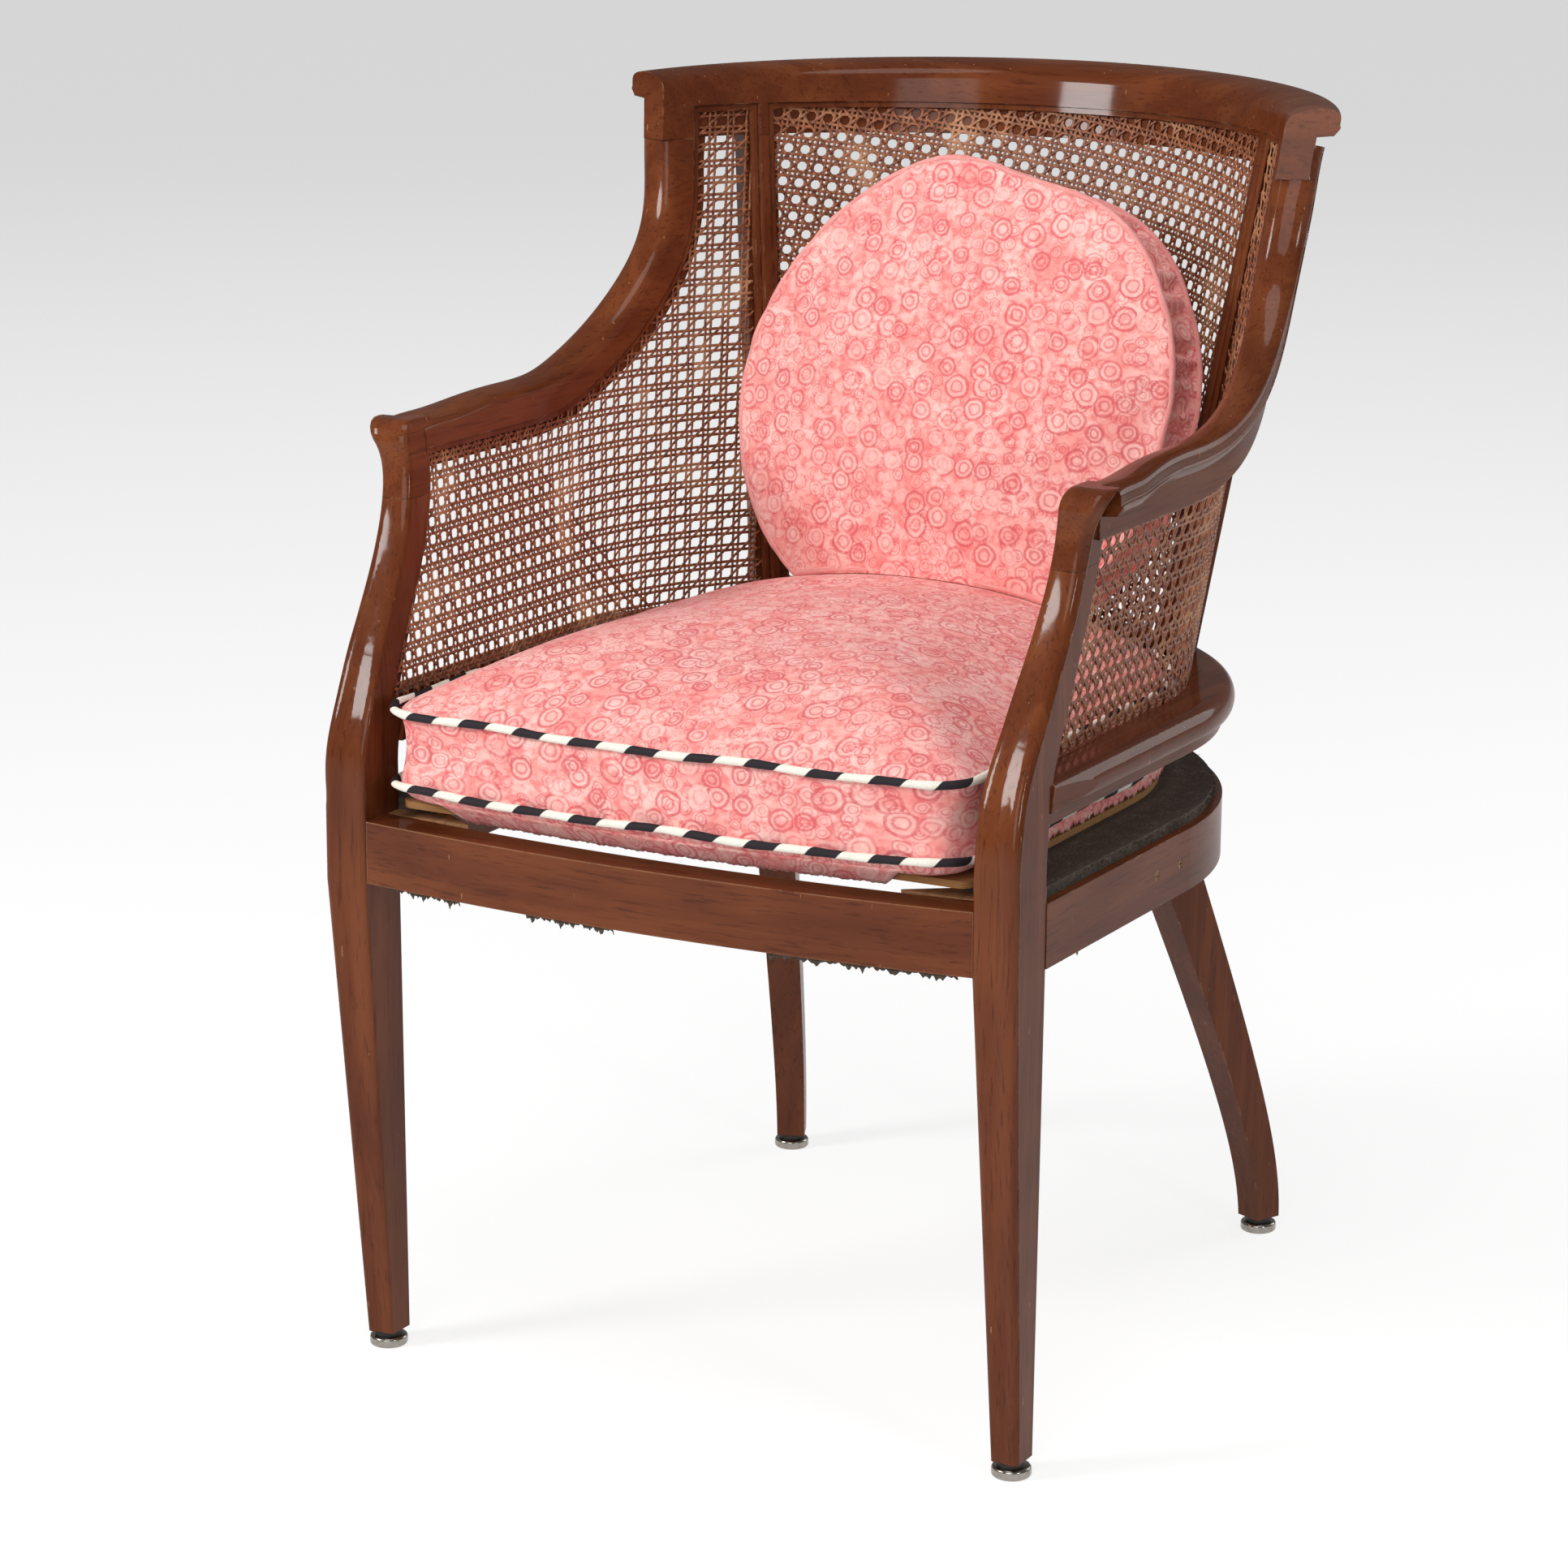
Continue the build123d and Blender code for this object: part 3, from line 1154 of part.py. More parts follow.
    # Cane panels and their splines
    half = CANE_THICKNESS / 2
    cane = side_panel(-half, half, -LOOSE_GAP) - side_openings()
    nodes["cane_panel_left"] = [cane]
    nodes["cane_panel_right"] = [mirrored(cane)]
    nodes["cane_panel_back"] = [back_wall(-half, half, -LOOSE_GAP)]
    face_in = -half - SPLINE_HEIGHT
    bead = side_panel(face_in, -half, -LOOSE_GAP) - side_panel_prism(-LOOSE_GAP - SPLINE_WIDTH)
    nodes["cane_spline_left"] = [bead]
    nodes["cane_spline_right"] = [mirrored(bead)]
    opening = back_wall(face_in - BEYOND, BEYOND, -LOOSE_GAP - SPLINE_WIDTH)
    nodes["cane_spline_back"] = [back_wall(face_in, -half, -LOOSE_GAP) - opening]

    # Glides
    caps = [glide_cap(foot) - glide_nail(foot, DOWEL_PLAY) for foot in feet()]
    necks = [glide_neck(foot) - glide_nail(foot, DOWEL_PLAY) for foot in feet()]
    nodes["glide_caps"] = both_sides(caps)
    nodes["glide_cushions"] = both_sides(necks)
    nodes["glide_nails"] = both_sides([glide_nail(foot, 0.0) for foot in feet()])

    # Dowels
    nodes["arm_dowels"] = both_sides([pin for pin, hole in arm_pins])
    nodes["crest_dowels"] = both_sides([pin for pin, hole in crest_pins])
    nodes["front_rail_dowels"] = both_sides([pin for pin, hole in front_pins])
    nodes["side_rail_dowels"] = both_sides([pin for pin, hole in side_pins])
    nodes["rear_leg_dowels"] = both_sides([pin for pin, hole in leg_pins])
    nodes["stub_post_dowels"] = both_sides([pin for pin, hole in stub_pins])
    nodes["stile_dowels"] = both_sides([pin for pin, hole in stile_pins])
    nodes["hoop_dowels"] = both_sides([pin for pin, hole in hoop_pins])

    # Cushions
    nodes["seat_cushion"] = [seat_cushion()]
    nodes["seat_cushion_welt_upper"] = [cushion_welt(UPPER_WELT_Z)]
    nodes["seat_cushion_welt_lower"] = [cushion_welt(LOWER_WELT_Z)]
    nodes["back_cushion"] = [pillow()]
    nodes["back_cushion_welt_front"] = [pillow_welt(-PILLOW_BOXING / 2)]
    nodes["back_cushion_welt_rear"] = [pillow_welt(PILLOW_BOXING / 2)]
    return nodes


def main():
    nodes = build()
    solids = [solid for group in nodes.values() for solid in group]
    low = min(solid.bounding_box().min.Y for solid in solids)
    high = max(solid.bounding_box().max.Y for solid in solids)
    shift = Pos(0, -(low + high) / 2, 0)
    os.makedirs("parts", exist_ok=True)
    for name, group in nodes.items():
        placed = [shift * solid for solid in group]
        shape = placed[0] if len(placed) == 1 else Compound(children=placed)
        export_step(shape, f"parts/{name}.step")


if __name__ == "__main__":
    main()
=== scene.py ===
import math

import bpy
import numpy as np
from bpy.props import FloatProperty, FloatVectorProperty, IntProperty, PointerProperty
from bpy.types import Operator, Panel, PropertyGroup
from mathutils import Matrix, Vector


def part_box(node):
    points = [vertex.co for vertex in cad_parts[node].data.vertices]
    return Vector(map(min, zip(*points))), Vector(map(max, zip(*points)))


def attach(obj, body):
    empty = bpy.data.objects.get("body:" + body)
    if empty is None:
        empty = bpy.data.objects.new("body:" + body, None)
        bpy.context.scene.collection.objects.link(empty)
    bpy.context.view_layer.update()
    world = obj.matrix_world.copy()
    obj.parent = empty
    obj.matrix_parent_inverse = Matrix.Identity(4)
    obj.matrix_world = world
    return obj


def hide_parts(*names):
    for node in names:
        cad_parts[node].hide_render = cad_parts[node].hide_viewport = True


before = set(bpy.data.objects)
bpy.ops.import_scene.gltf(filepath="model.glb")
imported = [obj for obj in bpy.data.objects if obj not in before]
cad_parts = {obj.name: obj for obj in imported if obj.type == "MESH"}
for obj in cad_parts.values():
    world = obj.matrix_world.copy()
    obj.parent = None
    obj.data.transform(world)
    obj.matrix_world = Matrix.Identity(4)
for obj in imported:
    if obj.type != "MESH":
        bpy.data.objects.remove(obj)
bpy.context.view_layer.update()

bl_info = {
    "name": "Caned barrel armchair",
    "version": (1, 0, 0),
    "blender": (4, 5, 0),
    "location": "3D View > Sidebar > Armchair",
    "description": "Dresses the packed armchair with cane, cushions, piping and finishes",
    "category": "Object",
}

# The chair is drawn about the maker's working origin; every finished piece is moved by this much.
GLIDE_FRONT_Y = -0.234
SHIFT = np.array([0.0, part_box("glide_caps")[0][1] - GLIDE_FRONT_Y, 0.0])

# Barrel wall, foot and head values
WALL_Z = (0.490, 0.870)
WALL_RADIUS = (0.241, 0.280)
WALL_CENTRE_Y = (0.030, 0.085)
WALL_FRONT_X = (0.243, 0.276)
WALL_FRONT_Y = -0.242
WALL_STRAIGHT = sum(WALL_CENTRE_Y) / 2 - WALL_FRONT_Y
WALL_MID_RADIUS = sum(WALL_RADIUS) / 2
STILE_ANGLE = (math.radians(46.6), math.radians(40.3))
STILE_FACE = 0.0115

# Border of a cane panel
BORDER_FOOT_Z = 0.476
ARM_BORDER_Z = 0.657
POST_FRONT_Y = -0.2635
POST_SWEEP = 0.083
SWEEP_Z = (0.440, 0.650)
POST_FACE = 0.026
ARM_BEND = (0.169, 0.734)
SWEEP_BEND = (0.203, 0.804)
BORDER_HEAD = (0.215, 0.870)
BACK_TILT = math.radians(7.8)

# Printed cloth, two scatterings of pebbles: share of the spacing, shift of the pattern and strength
PEBBLE_LAYERS = ((0.62, (0.31, 0.17, 0.0), 0.75), (1.0, (0.0, 0.0, 0.0), 1.0))

# Seat cushion and round cushion
SEAT_HALF_WIDTH = 0.225
SEAT_FRONT_Y = -0.258
SEAT_BOW = 0.013
SEAT_CORNER = 0.034
SEAT_CENTRE_Y = 0.030
SEAT_FOOT_Z = 0.4214
SEAT_WELT_Z = (0.4364, 0.4904)
SEAT_CROWN = 0.055
SEAT_CROWN_REACH = 0.88
SEAT_FULLNESS = 2.2
SEAT_UNDER_INSET = 0.024
ROUND_RADIUS = 0.1775
ROUND_BOXING = 0.052
ROUND_CROWN = (0.026, 0.014)
ROUND_LEAN = math.radians(14.0)
ROUND_CENTRE = np.array([0.0085, 0.18952, 0.6625])
ROUND_FOOT_Y = ROUND_CENTRE[1] - ROUND_RADIUS * math.sin(ROUND_LEAN)
# Where the round cushion's filling has settled: angle and spread in degrees, and height
ROUND_SETTLING = (
    (46.0, 17.0, 0.0058),
    (76.0, 13.0, -0.0062),
    (101.0, 13.0, 0.0044),
    (146.0, 28.0, -0.0054),
    (-138.0, 26.0, 0.0042),
    (-8.0, 17.0, -0.0068),
)

# How both covers are drawn before they are blown up, as rows over their under side, boxing and crown
SEAT_SLACK = 0.84
SEAT_PULL = 0.004
SEAT_UNDER_INSETS = (0.16, 0.09, 0.05)
SEAT_UNDER_TURNS = (90.0, 70.0, 50.0, 30.0, 12.0)
SEAT_CROWN_SHARES = (0.03, 0.08, 0.15, 0.25, 0.4, 0.55, 0.7, 0.85, 1.0)
ROUND_SLACK = 0.85
ROUND_PULL = 0.03
ROUND_FULLNESS = 2.6
ROUND_FACE_SHARES = (0.1, 0.3, 0.5, 0.7, 0.85, 0.94)
# Swells of both fillings: radians per metre along each axis, phase and height
SEAT_SWELLS = (
    ((23.0, 11.0, 0.0), 0.4, 0.0016),
    ((-17.0, 29.0, 0.0), 2.1, 0.0013),
    ((41.0, -33.0, 0.0), 0.9, 0.0007),
)
ROUND_SWELLS = (
    ((19.0, 0.0, 13.0), 0.3, 0.0018),
    ((-27.0, 0.0, 21.0), 1.4, 0.0014),
    ((35.0, 0.0, 39.0), 0.2, 0.0008),
)
# Where the round cushion stands on the seat: the gap between them, and how far the dip reaches
PRESS_GAP = 0.0002
PRESS_FADE = 0.045
# Middle and radius of the circle that the print on the seat's boxing is wrapped round
SEAT_WRAP_Y = -0.02
SEAT_WRAP_RADIUS = 0.235
# Height of the round cushion's pleats, and how far its cloth stands out at the seams
GATHER_HEIGHT = 0.0021
SEAM_LIP = 0.0007
# Pleats: weight, number in a turn, how far they waver and how often
PLEATS = ((1.0, 47.0, 2.5, 3.0), (0.7, 71.0, 1.7, 5.0))
# Frames of cloth, and the cloth that is held meanwhile: half height and depth of the seat's seams,
# height of its foot, half width of the round seams and the share of the radius that they start at
BLOWING_FRAMES = 20
SEAT_SEAM = (0.0042, 0.007)
SEAT_FOOT_HELD = 0.003
ROUND_SEAM = (0.004, 0.965)
# Distance over which the swells come in beside the seams, and the turn of a face that is boxing
SEAT_SWELL_FADE = 0.03
ROUND_SWELL_FADE = 0.012
BOXING_TURN = 0.7

# Waver of the piping: height, number in a turn and phase, and of its size: share and step
SEAT_SWAY = ((0.0007, 9, 40), (0.0005, 17, 70))
ROUND_SWAY = ((0.0006, 21, 0), (0.0004, 34, 1))
CORD_WAVER = ((0.05, 0.37), (0.04, 0.83))

# Torn hem under the seat cushion: ends as shares of its outline, inset at top and foot, depth, nicks
HEM_ROWS = (
    ("front", 0.385, 0.618, (0.004, 0.020), 0.0132, 0.0020),
    ("right", 0.09, 0.36, (-0.0006, -0.0006), 0.0075, 0.0085),
)
HEM_FADE = 0.02
HEM_LEAST = 0.0012
HEM_TUCK = 0.0004
CLOTH_THICKNESS = 0.0005

# Seat rails and deck
RAIL_FOOT_Z = 0.363
RAIL_TOP_Z = 0.408
DECK_TOP_Z = 0.416
DECK_INSET = 0.0072
HOOP_RADIUS = 0.275
HOOP_CENTRE_Y = 0.012
HOOP_FRONT_Y = -0.2195
HOOP_NARROW = 0.003
FRONT_RAIL_HALF = 0.2385
FRONT_RAIL_BOW = 0.017
FRONT_RAIL_MIDDLE = 0.0155

# Dust cover: scraps along the front rail, as shares of half its width, and round the hoop
FRONT_SCRAPS = (("front_a", -0.92, -0.66), ("front_b", -0.42, -0.12), ("front_c", 0.38, 0.95))
HOOP_SCRAPS = (("side_left", 0.02, 0.22), ("back", 0.42, 0.58), ("side_right", 0.78, 0.98))
SCRAP_INSET = 0.0175
SCRAP_HANG = 0.0085
# Section of a scrap: share that lies flat, its inner edge, its reach and the drift of the torn edge
SCRAP_FLAT = 0.7
SCRAP_INNER = -0.006
SCRAP_REACH = 0.0165
SCRAP_DRIFT = 0.0015
SCRAP_GAP = 0.0007
# Threads of the deck's cloth: how deep they are rooted, their reach, drift and fall
FRAY_ROOT = 0.0006
FRAY_REACH = (0.0015, 0.0046)
FRAY_DRIFT = 0.004
FRAY_FALL = 0.0045

# Floor: distances over which its white grades to the far tone, how bright it is seen, and its own
# grey where it catches light and where it is seen
FLOOR_FADE = (1.1, 9.0)
FLOOR_GLOW = 0.79
FLOOR_LIT = (0.8, 0.8, 0.8)
FLOOR_SEEN = (0.3, 0.3, 0.3)

# The photograph's viewpoint, about the working origin
CAMERA_PLACE = (1.4774, -2.8206, 1.2086)
CAMERA_AZIMUTH = math.radians(28.354)
CAMERA_ELEVATION = math.radians(14.117)
CAMERA_ROLL = math.radians(0.339)
CAMERA_FOCAL_PIXELS = 5535.8
PICTURE_PIXELS = 1932.0
SENSOR_WIDTH = 36.0


def tone(red, green, blue):
    """Linear colour of a paint that reads as these 0 to 255 display values."""
    display = np.array([red, green, blue]) / 255.0
    linear = np.where(display <= 0.04045, display / 12.92, ((display + 0.055) / 1.055) ** 2.4)
    return tuple(float(value) for value in linear)


def colour(label, about, *display):
    """Setting for a colour, given as display values."""
    return FloatVectorProperty(
        name=label, description=about, subtype="COLOR", size=3, min=0.0, max=1.0, default=tone(*display)
    )


def length(label, about, default):
    """Setting for a length in metres."""
    return FloatProperty(name=label, description=about, unit="LENGTH", default=default, min=0.0)


def power(label, about, default):
    """Setting for the power of a light in watts."""
    return FloatProperty(name=label, description=about, unit="POWER", default=default, min=0.0)


class CaneSettings(PropertyGroup):
    """Sizes and colours of the woven cane."""

    pitch: length("Pitch", "Distance from hole to hole", 0.0127)
    pair: length("Pair offset", "Distance of a strand from the middle of its pair", 0.00195)
    width: length("Strand width", "Width of one strand of cane", 0.0022)
    thickness: length("Strand thickness", "Thickness of one strand of cane", 0.0009)
    wave: length("Wave", "How far a strand rises and falls as it passes others", 0.00045)
    margin: length("Border margin", "How far inside the groove the strands end", 0.0022)
    stretch: FloatProperty(
        name="Stretch", description="How far the side panels' weave is drawn out lengthwise", default=1.17
    )
    tilt: FloatProperty(
        name="Tilt", description="Slant of the back panel's weave", subtype="ANGLE", default=BACK_TILT
    )
    mid: colour("Cane", "Colour of the weathered cane", 166, 101, 64)
    dark: colour("Dark cane", "Colour in the pores and along the edges", 98, 48, 26)
    light: colour("Pale cane", "Colour of the rubbed strands", 208, 154, 112)


class CushionSettings(PropertyGroup):
    """Sizes and colours of the two cushions."""

    voxel: length("Cloth cell", "Cell size of the cloth when it is blown up", 0.0052)
    pressure: FloatProperty(
        name="Pressure", description="Air pressure of the filling", default=4.0, min=0.0
    )
    cap: length("Swell limit", "Farthest that a point of the cloth may move", 0.022)
    welt: length("Seat piping radius", "Radius of the striped piping", 0.003)
    round_welt: length("Back piping radius", "Radius of the piping in the cushion's own cloth", 0.0026)
    stripe: length("Stripe", "Length of one stripe of the piping", 0.0228)
    motif: length("Motif", "Spacing of the printed rings", 0.0205)
    pale: colour("Pale pink", "Palest ground of the print", 255, 203, 194)
    mid: colour("Mid pink", "Ground of the print", 249, 160, 152)
    deep: colour("Deep pink", "Shade between the motifs", 238, 122, 120)
    line: colour("Line pink", "Drawn lines of the print", 216, 84, 94)
    black: colour("Black stripe", "Dark stripe of the piping", 34, 28, 33)
    cream: colour("Cream stripe", "Pale stripe of the piping", 243, 237, 224)


class FinishSettings(PropertyGroup):
    """Colours of the frame and its fittings."""

    wood_dark: colour("Dark mahogany", "Pores and dark streaks", 62, 26, 13)
    wood_mid: colour("Mahogany", "Main tone of the polished wood", 98, 48, 25)
    wood_light: colour("Light mahogany", "Bright streaks", 117, 62, 33)
    wood_bare: colour("Bare wood", "Worn edges and chips", 196, 148, 108)
    cloth_black: colour("Black cloth", "Old cloth on the deck", 76, 66, 57)
    ply: colour("Plywood", "Board under the cushion", 176, 128, 78)


class StageSettings(PropertyGroup):
    """Floor and lights."""

    floor_radius: length("Floor reach", "Half the width of the pale floor", 30.0)
    key: power("Key light", "Power of the front left light", 62.0)
    fill: power("Fill light", "Power of the wide front light", 40.0)
    side: power("Side light", "Power of the right light", 10.0)
    top: power("Top light", "Power of the overhead light", 24.0)
    back: power("Back light", "Power of the light behind", 22.0)
    ambient: FloatProperty(name="Ambient", description="Strength of the light from all round", default=0.2)
    far: colour("Far floor", "Tone of the backdrop far behind the chair", 228, 228, 228)


def smooth(value):
    """Smooth step: 3 t squared less 2 t cubed, with t kept from 0 to 1."""
    bounded = np.clip(value, 0.0, 1.0)
    return bounded * bounded * (3.0 - 2.0 * bounded)


def wall_values(z):
    """Radius, centre and front half width of the wall at a height: straight lines from foot to head."""
    share = (z - WALL_Z[0]) / (WALL_Z[1] - WALL_Z[0])
    pairs = (WALL_RADIUS, WALL_CENTRE_Y, WALL_FRONT_X)
    return [low + (high - low) * share for low, high in pairs]


def wall_points(run, z, out):
    """Points of the barrel wall.

    run is measured along the plan at mid height, first along the straight side from the post and
    then round the back; at other heights the point keeps its share of the side, or its angle.
    out pushes the point along the level normal.
    """
    radius, centre, front_x = wall_values(z)
    share = run / WALL_STRAIGHT
    angle = (run - WALL_STRAIGHT) / WALL_MID_RADIUS
    slope = (radius - front_x) / (centre - WALL_FRONT_Y)
    steep = np.sqrt(1.0 + slope**2)
    side_x = front_x + (radius - front_x) * share + out / steep
    side_y = WALL_FRONT_Y + (centre - WALL_FRONT_Y) * share - out * slope / steep
    back_x = (radius + out) * np.cos(angle)
    back_y = centre + (radius + out) * np.sin(angle)
    on_side = run < WALL_STRAIGHT
    x = np.where(on_side, side_x, back_x)
    y = np.where(on_side, side_y, back_y)
    return np.stack([x, y, z + 0.0 * run], axis=-1)


def stile_angle(z):
    """Angle of a back stile's middle round the barrel at a height: a straight line from foot to head."""
    share = (z - WALL_Z[0]) / (WALL_Z[1] - WALL_Z[0])
    return STILE_ANGLE[0] + (STILE_ANGLE[1] - STILE_ANGLE[0]) * share


def tangent_arc(start, end, heading):
    """Arc between two side-view points that leaves the first one along heading: turn is twice the
    angle between heading and chord, and radius is half the chord over the sine of half the turn."""
    chord = np.subtract(end, start)
    turn = 2.0 * (math.atan2(chord[1], chord[0]) - heading)
    radius = np.hypot(*chord) / (2.0 * math.sin(turn / 2.0))
    swing = heading + np.linspace(0.0, turn, 16)
    y = start[0] + radius * (np.sin(swing) - math.sin(heading))
    z = start[1] - radius * (np.cos(swing) - math.cos(heading))
    return np.stack([y, z], axis=-1), heading + turn


def side_border():
    """Side-view outline of a side panel: up the post, along the arm, up its sweep, down the stile."""
    levels = np.linspace(BORDER_FOOT_Z, ARM_BORDER_Z, 24)
    sweep = smooth((levels - SWEEP_Z[0]) / (SWEEP_Z[1] - SWEEP_Z[0]))
    post = np.stack([POST_FRONT_Y + POST_SWEEP * sweep + POST_FACE, levels], axis=-1)
    arm, heading = tangent_arc((0.0, ARM_BORDER_Z), ARM_BEND, 0.0)
    rise, _ = tangent_arc(ARM_BEND, SWEEP_BEND, heading)
    ends = np.array([BORDER_HEAD[1], BORDER_FOOT_Z])
    radius, centre, _ = wall_values(ends)
    angle = stile_angle(ends) - STILE_FACE / 2 / radius
    stile = np.stack([centre + radius * np.sin(angle), ends], axis=-1)
    return np.concatenate([post, arm, rise[1:], [BORDER_HEAD], stile])


def inside_outline(y, z, outline, margin):
    """True where a side-view point lies inside a closed outline and farther than margin from it:
    the even-odd rule on crossings, and the least distance to the outline's edges."""
    inside = np.zeros(y.shape, bool)
    nearest = np.full(y.shape, np.inf)
    for (y0, z0), (y1, z1) in zip(outline, np.roll(outline, -1, axis=0)):
        rise = z1 - z0 if z1 != z0 else 1e-12
        crosses = (z0 > z) != (z1 > z)
        inside ^= crosses & (y < y0 + (z - z0) * (y1 - y0) / rise)
        span = (y1 - y0) ** 2 + (z1 - z0) ** 2
        along = np.clip(((y - y0) * (y1 - y0) + (z - z0) * (z1 - z0)) / span, 0.0, 1.0)
        nearest = np.minimum(nearest, np.hypot(y - y0 - along * (y1 - y0), z - z0 - along * (z1 - z0)))
    return inside & (nearest > margin)


def signed_volume(points, faces):
    """Six times the volume inside faces: the sum of triple products of each face's fan."""
    total = 0.0
    for group in faces:
        corner = points[group]
        for step in range(1, group.shape[1] - 1):
            total += np.einsum("ij,ij->", corner[:, 0], np.cross(corner[:, step], corner[:, step + 1]))
    return total


def piece_from(name, points, faces, closed=True):
    """New object at the origin from points about the working origin and arrays of faces.

    A closed shape whose volume comes out negative has its faces turned round.
    """
    placed = points.reshape(-1, 3) + SHIFT
    used, packed = np.unique(np.concatenate([group.ravel() for group in faces]), return_inverse=True)
    sizes = [group.size for group in faces]
    pieces = np.split(packed, np.cumsum(sizes)[:-1])
    groups = [part.reshape(group.shape) for part, group in zip(pieces, faces)]
    placed = placed[used]
    if closed and signed_volume(placed - placed.mean(axis=0), groups) < 0:
        groups = [group[:, ::-1] for group in groups]
    mesh = bpy.data.meshes.new(name)
    mesh.from_pydata(placed.tolist(), [], [face for group in groups for face in group.tolist()])
    mesh.shade_smooth()
    mesh.update()
    piece = bpy.data.objects.new(name, mesh)
    bpy.context.scene.collection.objects.link(piece)
    return piece


def grid_faces(rows, columns, wrap_rows=False, wrap_columns=False):
    """Quads of a grid of rows times columns points, joined at the seam where it wraps."""
    row = np.arange(rows if wrap_rows else rows - 1)[:, None]
    column = np.arange(columns if wrap_columns else columns - 1)[None, :]
    next_row = (row + 1) % rows
    next_column = (column + 1) % columns
    corners = [row * columns + column, row * columns + next_column]
    corners += [next_row * columns + next_column, next_row * columns + column]
    return np.stack([corner + 0 * row for corner in corners], axis=-1).reshape(-1, 4)


def dress(piece, finish, body, slot, *nodes):
    """Gives a piece its finish and its body, and hides the solids that it stands for; slot is not used."""
    piece.data.materials.clear()
    piece.data.materials.append(finish)
    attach(piece, body)
    if nodes:
        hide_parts(*nodes)


class Finish:
    """A node material with short calls for the nodes that the finishes share."""

    def __init__(self, name):
        self.material = bpy.data.materials.new(name)
        self.material.use_nodes = True
        self.tree = self.material.node_tree
        self.tree.nodes.clear()
        self.shader = self.tree.nodes.new("ShaderNodeBsdfPrincipled")
        output = self.tree.nodes.new("ShaderNodeOutputMaterial")
        self.tree.links.new(self.shader.outputs["BSDF"], output.inputs["Surface"])

    def put(self, socket, value):
        """Links a socket to another node's output, or sets its own value."""
        if isinstance(value, bpy.types.NodeSocket):
            self.tree.links.new(value, socket)
        elif socket.type == "RGBA" and len(value) == 3:
            socket.default_value = (*value, 1.0)
        else:
            socket.default_value = value

    def node(self, kind, inputs=None, **settings):
        made = self.tree.nodes.new("ShaderNode" + kind)
        for key, value in settings.items():
            setattr(made, key, value)
        for key, value in (inputs or {}).items():
            self.put(made.inputs[key], value)
        return made

    def surface(self, **inputs):
        """Sets the shader's sockets by name, with _ for a space."""
        for key, value in inputs.items():
            self.put(self.shader.inputs[key.replace("_", " ")], value)

    def place(self, scale=(1.0, 1.0, 1.0), turn=(0.0, 0.0, 0.0)):
        """Object coordinates, stretched and turned."""
        spot = self.node("TexCoord").outputs["Object"]
        return self.node("Mapping", {"Vector": spot, "Scale": scale, "Rotation": turn}).outputs[0]

    def cloth_map(self):
        """The piece's own flat map, in metres."""
        return self.node("UVMap", uv_map="cloth").outputs[0]

    def math(self, operation, first, second=0.0, third=0.0):
        made = self.node("Math", operation=operation)
        for index, value in enumerate((first, second, third)):
            self.put(made.inputs[index], value)
        return made.outputs[0]

    def vector_math(self, operation, first, second):
        made = self.node("VectorMath", {0: first, 1: second}, operation=operation)
        return made.outputs["Value" if operation in ("DOT_PRODUCT", "LENGTH") else "Vector"]

    def mix(self, share, first, second):
        """Colour between two others, by its share of the second."""
        made = self.node("Mix", data_type="RGBA")
        for index, value in ((0, share), (6, first), (7, second)):
            self.put(made.inputs[index], value)
        return made.outputs[2]

    def noise(self, vector, scale, detail=3.0, roughness=0.55, distortion=0.0):
        inputs = {"Vector": vector, "Scale": scale, "Detail": detail}
        inputs.update({"Roughness": roughness, "Distortion": distortion})
        return self.node("TexNoise", inputs).outputs[0]

    def span(self, value, low, high, to_low=0.0, to_high=1.0):
        """Smooth step of a value from low to high, carried to another range."""
        inputs = {"Value": value, "From Min": low, "From Max": high, "To Min": to_low, "To Max": to_high}
        return self.node("MapRange", inputs, interpolation_type="SMOOTHSTEP").outputs[0]

    def bump(self, height, distance, strength=1.0, normal=None):
        inputs = {"Height": height, "Distance": distance, "Strength": strength}
        if normal is not None:
            inputs["Normal"] = normal
        return self.node("Bump", inputs).outputs[0]


